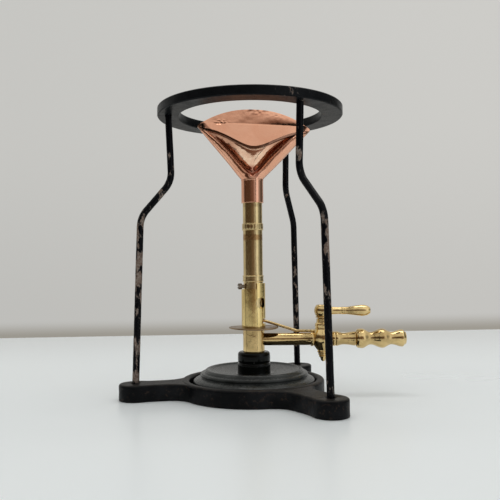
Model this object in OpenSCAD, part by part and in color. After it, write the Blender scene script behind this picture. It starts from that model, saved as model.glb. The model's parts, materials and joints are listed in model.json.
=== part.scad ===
// Bunsen burner with a fishtail flame spreader, standing in a three-legged ring stand.
// Millimetres. +Z is up, the origin is on the burner's axis at the table,
// and the gas line leaves along +X.

/* [Ring stand] */
// Outside diameter of the ring that carries a vessel
ring_d = 120.2; // [110:0.2:140]
// Bore of the ring
ring_bore_d = 92.4; // [84:0.2:98]
// Thickness of the ring
ring_t = 5.9; // [4:0.1:8]
// Height of the ring's top face above the table
stand_h = 185.6; // [178:0.2:210]
// Diameter of the rod that the legs are bent from
rod_d = 4.4; // [3.4:0.1:5]
// Radius of each bend, on the rod's centre line
bend_r = 17; // [10:1:20]
// Height of the lower bend of the legs
knee_z = 114.5; // [100:0.5:118]
// Height of the upper bend of the legs
shoulder_z = 137.5; // [134:0.5:146]
// How far a leg leans in between its foot and its lower bend
leg_lean = 3.9; // [1:0.1:6]
// How far inside the middle of the ring the upper bend lies
shoulder_in = 1.7; // [0:0.1:4]
// Azimuth of the left leg
left_az = -169; // [-180:1:-150]
// Radius of the left leg's foot from the stand's axis
left_foot_r = 75; // [66:0.2:84]
// Azimuth of the front right leg
front_az = -56.2; // [-70:0.2:-50]
// Radius of the front right leg's foot
front_foot_r = 77.6; // [66:0.2:84]
// Azimuth of the back right leg
back_az = 61; // [50:0.2:70]
// Radius of the back right leg's foot
back_foot_r = 68.2; // [66:0.2:84]
// Diameter of the peened tenon on top of each leg
tenon_d = 3; // [2:0.1:3.2]

/* [Stand casting] */
// Thickness of the casting's arms and pads
cast_t = 10.4; // [7:0.1:14]
// How far the hub stands above the arms
hub_rise = 0.4; // [0.2:0.1:2]
// Radial wall of the cast hub around its bore
hub_wall = 5.2; // [4:0.1:9]
// Radial play between the hub's bore and the burner's foot
hub_play = 1.5; // [1.3:0.1:3]
// How far the stand's axis lies off the burner's axis, within that play
stand_x = -1; // [-1.1:0.1:1.1]
// Width of the arms that carry the legs
arm_w = 18; // [12:0.5:20]
// Diameter of the round pad under each leg
pad_d = 20.6; // [18:0.2:26]
// Radius of the fillet between an arm and the hub
arm_fillet = 9; // [4:0.5:12]
// Rounding of the casting's top edges
cast_round = 1.5; // [0.6:0.1:2.4]

/* [Burner foot] */
// Diameter of the cast foot at the table
foot_d = 79; // [74:0.5:90]
// Height of the foot's outer flange
flange_h = 11; // [8:0.1:12]
// Diameter of the rounded moulding above the flange
mould_d = 69.6; // [66:0.2:72]
// Diameter of the dish's rim
rim_d = 61; // [54:0.5:63]
// Height of the dish's rim
rim_z = 17.1; // [16.6:0.1:19]
// Height of the dish's floor where it meets the boss
dish_z = 14; // [12.6:0.1:15]
// Diameter of the boss in the middle of the foot
boss_d = 21.2; // [18.6:0.2:26]
// Height of the boss's step
boss_step_z = 20.8; // [18:0.1:23]
// Height of the boss's top
boss_z = 28; // [26:0.1:29]

/* [Tube and body] */
// Outside diameter of the burner tube
tube_d = 12.7; // [11.5:0.1:14]
// Wall of the burner tube
tube_wall = 1; // [0.8:0.1:1.4]
// Height of the burner tube's top end
tube_top_z = 138.3; // [132:0.2:150]
// Outside diameter of the gas body under the tube
body_d = 14; // [13.8:0.1:16]
// Height of the gas body's top shoulder
body_z = 42.6; // [41:0.1:45]
// Diameter of the body's spigot in the foot
spigot_d = 10; // [8:0.1:11]
// Depth of the spigot in the foot
spigot_l = 14; // [8:0.5:20]
// Outside diameter of the two raised bands
band_d = 13.9; // [13.6:0.1:16]
// Bottom of the lower band
low_band_z = 72.9; // [72.6:0.1:76]
// Height of the lower band
low_band_h = 4.1; // [2:0.1:6]
// Bottom of the upper band
high_band_z = 106.2; // [90:0.2:116]
// Height of the upper band
high_band_h = 4.5; // [2:0.1:6]

/* [Air regulator] */
// Wall of the air sleeve
sleeve_wall = 1.35; // [1:0.05:1.8]
// Height of the air sleeve's top end
sleeve_top_z = 72; // [70.6:0.1:72.3]
// Diameter of the thumb disc
disc_d = 32; // [24:0.5:40]
// Thickness of the thumb disc
disc_t = 1; // [0.6:0.1:2]
// Diameter of the air holes in the sleeve and the tube
air_d = 7.2; // [5:0.1:8]
// Height of the air holes' centres
air_z = 59.3; // [58:0.1:62]
// Azimuth of the sleeve's air hole at rest
sleeve_air_az = -50; // [-60:1:-40]
// Azimuth of the tube's air hole
tube_air_az = -15; // [-25:1:-5]
// Turn of the regulator from rest to closed
close_turn = 30; // [20:1:35]
// Turn of the regulator from rest to fully open
open_turn = 38; // [30:1:45]
// Depth of the cut-out in the sleeve's top edge
notch_h = 3.8; // [3.4:0.1:5]
// Azimuth where the cut-out ends at the front
notch_front_az = -72; // [-90:1:-60]
// Azimuth where the cut-out ends at the back
notch_back_az = -230; // [-250:1:-225]

/* [Stop screw] */
// Azimuth of the stop screw
screw_az = -160; // [-168:1:-150]
// Height of the stop screw
screw_z = 70; // [69.9:0.1:70.3]
// Diameter of the stop screw's head
screw_head_d = 3.9; // [3:0.1:3.9]
// Length of the stop screw's head
screw_head_l = 2.4; // [1.5:0.1:4]
// Diameter of the stop screw's shank
screw_d = 2.2; // [1.6:0.1:2.6]

/* [Flame spreader] */
// Wall of the copper socket
socket_wall = 0.8; // [0.6:0.05:1.2]
// Depth of the socket on the tube
socket_l = 14.3; // [10:0.1:20]
// Height of the spreader from its neck to its highest edge
fan_h = 45.8; // [36:0.2:46]
// Height from the neck to the spreader's side tips
tip_h = 33.2; // [28:0.2:36]
// Half width of the spreader at its side tips
fan_w = 36.8; // [30:0.2:40]
// Height from the neck to the lowest point of the front crease
crease_h = 20.6; // [16:0.2:24]
// Half thickness of the spreader at the middle of its crease
crease_bulge = 7.8; // [6:0.1:10]
// Half thickness of the belly under the crease
belly_bulge = 5; // [4:0.1:6]
// Height from the neck to the belly's lower point
belly_low_h = 9.7; // [8:0.1:12]
// Half width of the flame slot along the top edge
slot_half = 0.5; // [0.3:0.05:0.8]
// Width of the rolled fold along the left edge
left_fold_w = 4.8; // [3:0.1:6]
// Width of the rolled fold along the right edge
right_fold_w = 6.8; // [4:0.1:8]
// Lean of the spreader towards the gas line
fan_lean = 2.4; // [0:0.1:4]
// Turn of the spreader about the tube
fan_turn = 2; // [-20:1:20]

/* [Gas line] */
// Height of the gas line's axis
line_z = 35.5; // [34.5:0.1:36]
// Outside diameter of the gas pipe
pipe_d = 8; // [6.5:0.1:8.6]
// Wall of the gas pipe
pipe_wall = 1.2; // [0.8:0.1:1.5]
// Distance from the burner's axis to the tap's axis
tap_x = 44.8; // [44:0.2:54]
// Half length of the tap's body along the gas line
tap_half_l = 8; // [7.4:0.1:9]
// Diameter of the collars at both ends of the tap's body
collar_d = 9.5; // [9.2:0.1:11]
// Width of these collars
collar_w = 1.8; // [1.2:0.1:2.4]
// Greatest radius of the tap's body
tap_belly_r = 7.1; // [6.8:0.1:8]
// Radius of the neck on top of the tap's body
tap_neck_r = 5; // [4.8:0.1:5.6]
// Height of the top of the tap's body
tap_top_z = 48.6; // [46:0.1:49]
// Height of the bottom of the tap's body
tap_foot_z = 28.5; // [27:0.1:29]
// Radius of the tap's plug at its upper end
plug_top_r = 3.2; // [2.9:0.05:3.3]
// Radius of the tap's plug at its lower end
plug_foot_r = 2.5; // [2.3:0.05:2.6]
// Diameter of the gas way through the pipe, the plug and the tail
way_d = 3.4; // [2:0.1:3.6]
// Height of the lever's axis
lever_z = 53.6; // [53.3:0.1:56]
// Distance from the tap's axis to the lever's rounded end
lever_l = 30.8; // [24:0.2:40]
// Turn of the lever from along the gas line, at rest
lever_az = -2; // [-20:1:20]
// Length of the finial nut under the tap
finial_l = 7; // [5:0.1:8]

/* [By-pass tube] */
// Outside diameter of the by-pass tube
bypass_d = 1.8; // [1.4:0.1:2.2]
// Bore of the by-pass tube
bypass_bore_d = 1; // [0.6:0.1:1.2]
// Height where the by-pass tube enters the air sleeve
bypass_z = 47.3; // [46.8:0.1:48.4]
// Height of the pilot's mouth inside the burner tube
pilot_z = 131; // [110:1:136]

/* [Hose tail] */
// Length of the tail's first piece, from the tap to the seam
nipple_l = 13.1; // [10:0.1:18]
// Length of the reeded hose connector
barb_l = 32.3; // [28:0.1:40]
// Diameter of the connector's two large reeds
reed_d = 12.8; // [11:0.1:14]
// Diameter of the connector's last reed
end_reed_d = 11.2; // [9.4:0.1:12]
// Diameter of the connector between its reeds
waist_d = 8; // [7:0.1:9]

/* [Fits] */
// Radial clearance of a running or sliding fit
run_fit = 0.05; // [0.02:0.01:0.1]
// Radial clearance of a soldered, screwed or peened joint
seat_fit = 0.03; // [0.02:0.01:0.05]
// Face clearance between pieces that move on each other
face_fit = 0.05; // [0.02:0.01:0.2]

/* [Hidden] */

$fn = 96;
eps = 0.01;

// Colours
cast_black = [0.10, 0.10, 0.10];
paint_black = [0.06, 0.06, 0.07];
bright_brass = [0.80, 0.62, 0.28];
dull_brass = [0.62, 0.46, 0.24];
copper_pink = [0.86, 0.52, 0.40];
steel_grey = [0.30, 0.28, 0.27];

// Stand
ring_z = stand_h - ring_t;
ring_mid_r = (ring_d + ring_bore_d) / 4;
ring_chamfer = 0.6;
hub_bore_r = foot_d / 2 + hub_play;
hub_r = hub_bore_r + hub_wall;
LEGS = [[left_az, left_foot_r], [front_az, front_foot_r], [back_az, back_foot_r]];
sink_w = 1.2;
sink_h = 1.1;
fillet_step = 0.1;
leg_foot_z = 0.3;
rod_sides = 24;

// Burner foot and body
spigot_bottom_z = boss_z - spigot_l;
boss_round = 1.6;
boss_in = 1.5;
foot_recess_h = 6;
foot_land = 6;
foot_hub_r = boss_d / 2 + 3;

// Tube and the pieces on it
tube_bore_d = tube_d - 2 * tube_wall;
tube_neck_z = body_z + 2.6;
jet_d = 4.4;
jet_tip_d = 2.4;
jet_bore_d = 1;
jet_z = tube_neck_z + 8.4;
jet_hex_h = 1.8;
jet_seat_z = line_z + 3;

// Air regulator
sleeve_r = tube_d / 2 + run_fit;
sleeve_out_r = sleeve_r + sleeve_wall;
disc_z = body_z + face_fit;
sleeve_z = disc_z + disc_t;
slot_play = 1.3;
slot_end = 10;
screw_head_gap = 0.25;
screw_in = 0.8;

// Spreader
socket_d = tube_d + 2 * run_fit + 2 * socket_wall;
neck_z = tube_top_z + face_fit + 1.05;
socket_z = neck_z - socket_l - 1.1;
neck_r = socket_d / 2;
sheet_t = 0.7;
lean_span = 0.2;
tip_blunt = 1.5;
belly_slope = 0.8;
bend_h = max(mix(crease_h, fan_h, 0.6), tip_h + 0.8);
bend_bulge = 1;
fan_cols = 40;
crease_rows = [0, 0.1, 0.2, 0.3, 0.4, 0.5, 0.6, 0.7, 0.8, 0.88, 0.94, 0.97, 1];
top_rows = [0.06, 0.2, 0.36, 0.52, 0.68, 0.84, 1];

// Gas line and tap
pipe_start_x = body_d / 2 - 2.6;
tap_left_x = tap_x - tap_half_l;
tap_right_x = tap_x + tap_half_l;
pipe_end_x = tap_left_x + 1.4;
neck_step = 0.9;
lever_hub_r = 5.4;
hub_cut = 0.68 * lever_hub_r;
lever_skirt = 0.9;
lever_foot_z = lever_z - hub_cut - lever_skirt;
lever_neck_d = 4.8;
lever_bulb_d = 7.4;
plug_stem_z = lever_z + 1.6;
plug_stem_w = 3.2;
finial_stud_d = 2.4;
washer_t = 0.5;
washer_r = 3.7;
finial_z = tap_foot_z - face_fit - washer_t;

// By-pass tube
bypass_bend_r = 2;
riser_r = tube_bore_d / 2 - bypass_d / 2 - 0.35;
bypass_low_x = tap_left_x - 9;
bypass_low_z = line_z + pipe_d / 2 + bypass_d / 2 + 0.4;
bypass_end_x = tap_x - tap_belly_r + 2.1;
bypass_slope = (bypass_z - bypass_low_z) / (bypass_low_x - sleeve_out_r);
bypass_ease = 0.08;
bypass_sides = 16;
// The by-pass tube's corners [x, z]: in the tap's collar, over the pipe, and up the burner tube
BYPASS = [
    [bypass_end_x, bypass_low_z - 0.2],
    [bypass_low_x, bypass_low_z],
    [riser_r, bypass_z + bypass_slope * (sleeve_out_r - riser_r)],
    [riser_r, pilot_z]
];

slot_z = bypass_z + bypass_slope * sleeve_wall / 2;
slot_h = bypass_d + slot_play;

// Hose tail
nipple_x = tap_right_x;
barb_x = nipple_x + nipple_l;
thread_d = 6;
thread_l = 3.4;
tail_thread_l = 5;

// Turns a profile drawn as (radius, distance) about the X axis, towards +X.
module turned_x(profile) rotate([0, 90, 0]) rotate_extrude() polygon(profile);

// A path of [x, z] points with its corners rounded to radius r
function wrap(a) = a > 180 ? a - 360 : a < -180 ? a + 360 : a;
function heading(a, b) = atan2(b[1] - a[1], b[0] - a[0]);
function corner(a, b, c, r) = let (
    h0 = heading(a, b),
    turn = wrap(heading(b, c) - h0),
    side = sign(turn),
    start = b - r * tan(abs(turn) / 2) * [cos(h0), sin(h0)],
    middle = start + side * r * [-sin(h0), cos(h0)],
    steps = max(2, ceil(abs(turn) / 5))
) [for (k = [0 : steps]) let (h = h0 + turn * k / steps) middle + side * r * [sin(h), -cos(h)]];
function rounded(path, r) = [
    path[0],
    for (i = [1 : len(path) - 2]) each corner(path[i - 1], path[i], path[i + 1], r),
    path[len(path) - 1]
];

// A loop of points around station i of a path in the XZ plane; level ends are cut level
function station(path, i, r, sides, level) = let (
    last = len(path) - 1,
    h = i == 0 ? heading(path[0], path[1])
        : i == last ? heading(path[last - 1], path[last])
        : heading(path[i - 1], path[i + 1]),
    end = level && (i == 0 || i == last)
) [for (k = [0 : sides - 1]) let (a = 360 * k / sides, c = r * cos(a), d = r * sin(a))
    end ? [path[i][0] + c / sin(h), d, path[i][1]]
        : [path[i][0] + c * sin(h), d, path[i][1] - c * cos(h)]];

// Faces between n loops of m points each; closed joins the last loop to the first
function loop_faces(n, m, closed) = [
    for (i = [0 : n - (closed ? 1 : 2)], k = [0 : m - 1]) let (j = (i + 1) % n, q = (k + 1) % m)
        each [[i * m + k, j * m + k, j * m + q], [i * m + k, j * m + q, i * m + q]],
    if (!closed) each [[for (k = [0 : m - 1]) k], [for (k = [m - 1 : -1 : 0]) (n - 1) * m + k]]
];

// A round rod swept along a path in the XZ plane
module swept_rod(path, d, sides) {
    count = len(path);
    loops = [for (i = [0 : count - 1]) station(path, i, d / 2, sides, true)];
    polyhedron(
        points = [for (l = loops) each l],
        faces = loop_faces(count, sides, false),
        convexity = 4
    );
}

// A round tube swept along a path in the XZ plane
module swept_tube(path, d, bore, sides) {
    count = len(path);
    loops = [
        for (i = [0 : count - 1]) station(path, i, d / 2, sides, false),
        for (i = [count - 1 : -1 : 0]) station(path, i, bore / 2, sides, false)
    ];
    polyhedron(
        points = [for (l = loops) each l],
        faces = loop_faces(2 * count, sides, true),
        convexity = 6
    );
}

// A round hole of length l from the point [x, z] towards a second one
module hole_along(from, to, d, l) translate([from[0], 0, from[1]])
    rotate([0, 90 - heading(from, to), 0]) cylinder(d = d, h = l);

// A flat ring between two radii
module washer(r_out, r_in, h) difference() {
    cylinder(r = r_out, h = h);
    translate([0, 0, -1]) cylinder(r = r_in, h = h + 2);
}

// ---- Ring stand ----

function leg_path(foot_r) = rounded([
    [foot_r, leg_foot_z],
    [foot_r - leg_lean, knee_z],
    [ring_mid_r - shoulder_in, shoulder_z],
    [ring_mid_r, ring_z]
], bend_r);

module at_leg(i) translate([stand_x, 0, 0]) rotate([0, 0, LEGS[i][0]]) children();

module leg_tenon(i, d, h) at_leg(i) translate([ring_mid_r, 0, ring_z - 1])
    cylinder(d = d, h = h + 1);

module leg(i) color(paint_black) union() {
    at_leg(i) swept_rod(leg_path(LEGS[i][1]), rod_d, rod_sides);
    leg_tenon(i, tenon_d, ring_t);
}

module trivet_ring() color(paint_black) difference() {
    translate([stand_x, 0, ring_z]) rotate_extrude() polygon([
        [ring_bore_d / 2, ring_chamfer], [ring_bore_d / 2 + ring_chamfer, 0],
        [ring_d / 2 - ring_chamfer, 0], [ring_d / 2, ring_chamfer],
        [ring_d / 2, ring_t - ring_chamfer], [ring_d / 2 - ring_chamfer, ring_t],
        [ring_bore_d / 2 + ring_chamfer, ring_t], [ring_bore_d / 2, ring_t - ring_chamfer]
    ]);
    for (i = [0 : 2]) leg_tenon(i, tenon_d + 2 * seat_fit, ring_t + 1);
}

// Section of a bar with its two top corners rounded, as wide as w and as high as h
module round_top(w, h, r) {
    translate([-w / 2, 0]) square([w, h - r]);
    translate([-w / 2 + r, 0]) square([w - 2 * r, h]);
    for (s = [-1, 1]) translate([s * (w / 2 - r), h - r]) circle(r = r, $fn = 48);
}

module cast_arm(foot_r) {
    start_x = hub_bore_r + 1;
    translate([start_x, 0, 0]) rotate([90, 0, 90])
        linear_extrude(foot_r - start_x) round_top(arm_w, cast_t, cast_round);
    translate([foot_r, 0, 0]) {
        cylinder(d = pad_d, h = cast_t - cast_round);
        cylinder(d = pad_d - 2 * cast_round, h = cast_t);
        rotate_extrude() translate([pad_d / 2 - cast_round, cast_t - cast_round])
            circle(r = cast_round, $fn = 48);
    }
}

// The web that fills the corner between an arm and the hub, hollowed to the fillet's radius
module cast_fillet(side) {
    off_y = arm_w / 2 + arm_fillet;
    off_x = sqrt(pow(hub_r + arm_fillet, 2) - pow(off_y, 2));
    touch = hub_r / (hub_r + arm_fillet);
    linear_extrude(cast_t - cast_round / 2) difference() {
        polygon([
            [hub_r - 3, 0], [off_x, 0], [off_x, side * (arm_w / 2 + eps)],
            [off_x * touch, side * off_y * touch], [off_x * touch - 3, side * (off_y * touch - 2)]
        ]);
        translate([off_x, side * off_y]) circle(r = arm_fillet + fillet_step);
    }
}

module stand_base() color(cast_black) difference() {
    union() {
        translate([stand_x, 0, 0]) rotate_extrude() translate([hub_bore_r + hub_wall / 2, 0])
            round_top(hub_wall, cast_t + hub_rise, cast_round);
        for (i = [0 : 2]) at_leg(i) {
            cast_arm(LEGS[i][1]);
            for (side = [-1, 1]) cast_fillet(side);
        }
    }
    for (i = [0 : 2]) at_leg(i) {
        foot = LEGS[i][1];
        hole_along([foot + leg_lean, -knee_z], [foot, 0], rod_d + 2 * seat_fit, knee_z + 2 * cast_t);
        translate([foot - leg_lean * cast_t / knee_z, 0, cast_t - 2 * sink_h])
            cylinder(d1 = rod_d - 2 * sink_w, d2 = rod_d + 3 * sink_w, h = 2.5 * sink_h);
    }
    translate([stand_x, 0, -1]) cylinder(r = hub_bore_r, h = cast_t + hub_rise + 2);
}

// ---- Burner ----

module burner_base() color(cast_black) difference() {
    rotate_extrude() union() {
        polygon([
            [0, 0], [foot_d / 2 - 0.8, 0], [foot_d / 2, 0.8], [foot_d / 2, flange_h - 1.4],
            [foot_d / 2 - 1.2, flange_h - 0.2], [mould_d / 2 + 0.4, flange_h + 1.1],
            [mould_d / 2 - 0.6, flange_h + 1.7], [mould_d / 2 - 1.6, flange_h + 2.4],
            [rim_d / 2 + 1.8, rim_z - 1.4], [rim_d / 2 + 0.5, rim_z - 0.4], [rim_d / 2 - 0.4, rim_z],
            [rim_d / 2 - 1.4, rim_z - 0.1], [rim_d / 2 - 2.6, rim_z - 0.9],
            [rim_d / 2 - 4.4, rim_z - 1.3], [boss_d / 2, dish_z],
            [boss_d / 2, boss_step_z - 0.5], [boss_d / 2 - 0.7, boss_step_z],
            [boss_d / 2 - 0.2, boss_step_z + 0.6],
            [boss_d / 2 - 0.2, boss_z - boss_round], [boss_d / 2 - boss_in, boss_z], [0, boss_z]
        ]);
        translate([mould_d / 2 - 1.6, flange_h + 2.5]) circle(r = 1.6, $fn = 48);
        translate([boss_d / 2 - 0.2 - boss_round, boss_z - boss_round])
            circle(r = boss_round, $fn = 48);
    }
    translate([0, 0, spigot_bottom_z - 1]) cylinder(d = spigot_d + 2 * seat_fit, h = spigot_l + 2);
    translate([0, 0, -1]) washer(foot_d / 2 - foot_land, foot_hub_r, foot_recess_h + 1);
}

module gas_body() color(bright_brass) difference() {
    union() {
        translate([0, 0, boss_z]) cylinder(d = body_d, h = body_z - boss_z);
        translate([0, 0, spigot_bottom_z]) cylinder(d = spigot_d, h = spigot_l + 1);
        translate([0, 0, body_z - 1])
            cylinder(d = tube_bore_d - 2 * seat_fit, h = tube_neck_z - body_z + 1);
    }
    translate([0, 0, line_z]) cylinder(d = way_d, h = body_z);
    translate([0, 0, jet_seat_z]) cylinder(d = jet_d + 2 * seat_fit, h = body_z);
    translate([0, 0, line_z]) rotate([0, 90, 0]) cylinder(d = way_d, h = body_d);
    translate([pipe_start_x, 0, line_z]) rotate([0, 90, 0])
        cylinder(d = pipe_d + 2 * seat_fit, h = body_d);
}

module gas_jet() color(bright_brass) difference() {
    union() {
        translate([0, 0, jet_seat_z]) cylinder(d = jet_d, h = tube_neck_z - jet_seat_z + 0.5);
        translate([0, 0, tube_neck_z + 0.05]) cylinder(r = jet_d / 2 + 1.2, h = jet_hex_h, $fn = 6);
        translate([0, 0, tube_neck_z + 1])
            cylinder(d1 = jet_d, d2 = jet_tip_d, h = jet_z - tube_neck_z - 1);
    }
    translate([0, 0, jet_seat_z - 1]) cylinder(d = jet_tip_d, h = jet_z - jet_seat_z - 1);
    translate([0, 0, jet_seat_z]) cylinder(d = jet_bore_d, h = jet_z - jet_seat_z + 1);
}

module radial_hole(az, z, d, length) translate([0, 0, z]) rotate([0, 0, az])
    rotate([0, 90, 0]) cylinder(d = d, h = length);

module burner_tube() color(bright_brass) difference() {
    translate([0, 0, body_z]) cylinder(d = tube_d, h = tube_top_z - body_z);
    translate([0, 0, body_z - 1]) cylinder(d = tube_bore_d, h = tube_top_z);
    for (turn = [0, 180]) radial_hole(tube_air_az + turn, air_z, air_d, tube_d);
    radial_hole(screw_az, screw_z, screw_d + 2 * seat_fit, tube_d);
    hole_along(BYPASS[2], BYPASS[1], bypass_d + 2 * bypass_ease, tube_d);
}

module band(z, h) color(bright_brass) translate([0, 0, z]) difference() {
    rotate_extrude() polygon([
        [0, 0], [band_d / 2 - 0.4, 0], [band_d / 2, 0.4],
        [band_d / 2, h - 0.4], [band_d / 2 - 0.4, h], [0, h]
    ]);
    translate([0, 0, -1]) cylinder(r = tube_d / 2 + seat_fit, h = h + 2);
}

// A wedge of the sleeve's wall between two azimuths
module wall_cut(az_from, az_to, z, h) translate([0, 0, z]) rotate([0, 0, az_from])
    rotate_extrude(angle = az_to - az_from)
    translate([sleeve_r - 1, 0]) square([sleeve_wall + 2, h]);

module air_sleeve() color(bright_brass) difference() {
    translate([0, 0, sleeve_z]) washer(sleeve_out_r, sleeve_r, sleeve_top_z - sleeve_z);
    for (turn = [0, 180]) radial_hole(sleeve_air_az + turn, air_z, air_d, disc_d);
    wall_cut(notch_back_az, notch_front_az, sleeve_top_z - notch_h, notch_h + 1);
    wall_cut(-open_turn - slot_end, close_turn + slot_end, slot_z - slot_h / 2, slot_h);
}

module thumb_disc() color(dull_brass) translate([0, 0, disc_z])
    washer(disc_d / 2, sleeve_r, disc_t);

module stop_screw() color(steel_grey) translate([0, 0, screw_z]) rotate([0, 0, screw_az])
    rotate([0, 90, 0]) difference() {
        union() {
            translate([0, 0, tube_bore_d / 2 - screw_in])
                cylinder(d = screw_d, h = sleeve_wall + tube_wall + 2);
            translate([0, 0, sleeve_out_r + screw_head_gap])
                cylinder(d = screw_head_d, h = screw_head_l);
        }
        translate([-0.3, -screw_head_d, sleeve_out_r + screw_head_gap + screw_head_l - 0.8])
            cube([0.6, 2 * screw_head_d, 2]);
    }

// ---- Flame spreader ----

module spreader_socket() color(copper_pink) difference() {
    translate([0, 0, socket_z]) cylinder(d = socket_d, h = neck_z - socket_z);
    translate([0, 0, socket_z - 1])
        cylinder(d = tube_d + 2 * run_fit, h = tube_top_z + face_fit - socket_z + 1);
    translate([0, 0, socket_z]) cylinder(d = tube_bore_d, h = neck_z);
}

function smooth(t) = let (c = min(max(t, 0), 1)) c * c * (3 - 2 * c);
function mix(a, b, t) = a + (b - a) * t;

// Height of the crease and of the top edge above the neck, at a share u of the half width
function crease_at(u) = mix(crease_h, tip_h - tip_blunt, u * u);
function top_at(u) = mix(fan_h, tip_h + tip_blunt, pow(abs(u), 2.2));

// Half thickness of the folded lower part at a share u of the width and t of the height
function fold_at(u, t) = let (
    half = mix(neck_r, fan_w, t),
    from_edge = half * (1 - abs(u)),
    fold_w = u < 0 ? left_fold_w : right_fold_w,
    roll = min(from_edge / fold_w, 1),
    fold = mix(2.5, 1.3, t) * sqrt(max(1 - pow(2 * roll - 1, 2), 0)),
    off = sqrt(pow(u * half, 2) + 4) - 2,
    rise = (crease_at(u) * t - belly_low_h - belly_slope * off) / (crease_h - belly_low_h),
    swell = min(max(rise, 0), 1),
    floor = 1.1 * min(from_edge / 1.1, 1)
) max(fold, floor) + belly_bulge * swell * (1.6 - 0.6 * swell);

function lower_at(u, t) = mix(neck_r * sqrt(1 - u * u), fold_at(u, t), smooth(t / 0.42));
function rim_at(u) = crease_bulge * (1 - u * u) + 1.2 * sqrt(1 - pow(u, 6));
function lip_at(u) = (slot_half + sheet_t) * sqrt(1 - pow(u, 8));

// Half thickness above the crease at a height h: steep up to the bend, then nearly upright
function upper_at(u, h) = let (
    bend = lip_at(u) + bend_bulge * (1 - u * u),
    s = (h - crease_at(u)) / (bend_h - crease_at(u)),
    r = (h - bend_h) / max(top_at(u) - bend_h, eps)
) s < 1 ? mix(rim_at(u), bend, s) : mix(bend, lip_at(u), min(r, 1));

// A point of the outer or inner skin: row [part, share], angle a around the loop
function skin_point(part, s, a, inset) = let (
    u = cos(a),
    half = part == 0 ? mix(neck_r, fan_w, s) : fan_w,
    h = part == 0 ? crease_at(u) * s : mix(crease_at(u), top_at(u), s),
    thick = part == 0
        ? mix(lower_at(u, s), rim_at(u), smooth((s - 0.9) / 0.1))
        : upper_at(u, h),
    x = u * (half - inset * 1.6),
    depth = thick - inset * min(thick / (2 * inset + eps), 1),
    y = sign(sin(a)) * max(depth, 0.12 * (1 - pow(u, 8))),
    tilt = fan_lean * smooth(h / (fan_h * lean_span))
) [x * cos(tilt) + h * sin(tilt), y, h * cos(tilt) - x * sin(tilt)];

function skin_loop(part, s, inset) = [for (k = [0 : fan_cols - 1])
    skin_point(part, s, 360 * (k + 0.5) / fan_cols, inset)];

module spreader_fan() color(copper_pink) {
    rows = [for (s = crease_rows) [0, s], for (s = top_rows) [1, s]];
    count = len(rows);
    outer = [for (r = rows) skin_loop(r[0], r[1], 0)];
    inner = [for (i = [count - 1 : -1 : 0]) skin_loop(rows[i][0], rows[i][1], sheet_t)];
    loops = concat(outer, inner);
    translate([0, 0, neck_z]) rotate([0, 0, fan_turn]) polyhedron(
        points = [for (l = loops) each l],
        faces = loop_faces(len(outer) * 2, fan_cols, true),
        convexity = 6
    );
}

// ---- Gas line ----

module gas_pipe() color(bright_brass) translate([pipe_start_x, 0, line_z]) rotate([0, 90, 0])
    washer(pipe_d / 2, pipe_d / 2 - pipe_wall, pipe_end_x - pipe_start_x);

module bypass_tube() color(bright_brass)
    swept_tube(rounded(BYPASS, bypass_bend_r), bypass_d, bypass_bore_d, bypass_sides);

module tap_body() color(bright_brass) difference() {
    union() {
        translate([tap_x, 0, 0]) rotate_extrude() union() {
            polygon([
                [0, tap_foot_z], [3.9, tap_foot_z], [4.3, tap_foot_z + 0.5], [5.6, tap_foot_z + 2.2],
                [tap_belly_r - 0.3, line_z - 2.4], [tap_belly_r, line_z],
                [tap_belly_r - 0.3, line_z + 2.6], [tap_belly_r - 1, line_z + 4.4],
                [tap_neck_r + 0.2, line_z + 6], [tap_neck_r, line_z + 7],
                [tap_neck_r, line_z + 9.8], [tap_neck_r - neck_step, line_z + 10.7],
                [tap_neck_r - neck_step, tap_top_z - 0.3], [tap_neck_r - neck_step - 0.2, tap_top_z],
                [0, tap_top_z]
            ]);
        }
        translate([tap_left_x, 0, line_z]) turned_x([
            [0, 0], [collar_d / 2 - 0.3, 0], [collar_d / 2, 0.3],
            [collar_d / 2, collar_w - 0.3], [collar_d / 2 - 0.3, collar_w],
            [collar_d / 2 - 0.7, collar_w + 0.5], [collar_d / 2 - 0.7, tap_half_l],
            [collar_d / 2 - 0.7, 2 * tap_half_l - collar_w - 0.5],
            [collar_d / 2 - 0.3, 2 * tap_half_l - collar_w],
            [collar_d / 2, 2 * tap_half_l - collar_w + 0.3],
            [collar_d / 2, 2 * tap_half_l - 0.3], [collar_d / 2 - 0.3, 2 * tap_half_l],
            [0, 2 * tap_half_l]
        ]);
    }
    translate([tap_x, 0, tap_foot_z])
        cylinder(r1 = plug_foot_r + run_fit, r2 = plug_top_r + run_fit, h = tap_top_z - tap_foot_z);
    translate([tap_x, 0, tap_foot_z - 1]) cylinder(r = plug_foot_r + run_fit, h = 1 + eps);
    translate([tap_x, 0, tap_top_z - eps]) cylinder(r = plug_top_r + run_fit, h = 1);
    translate([tap_left_x - 1, 0, line_z]) rotate([0, 90, 0])
        cylinder(d = pipe_d + 2 * seat_fit, h = pipe_end_x - tap_left_x + 1);
    translate([tap_left_x, 0, line_z]) rotate([0, 90, 0]) cylinder(d = way_d, h = 2 * tap_half_l);
    translate([tap_right_x - thread_l, 0, line_z]) rotate([0, 90, 0])
        cylinder(d = thread_d + 2 * seat_fit, h = thread_l + 1);
    hole_along(BYPASS[0], BYPASS[1], bypass_d + 2 * bypass_ease, tap_half_l);
    hole_along([tap_x, BYPASS[0][1]], BYPASS[0], bypass_bore_d, tap_half_l);
}

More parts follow.
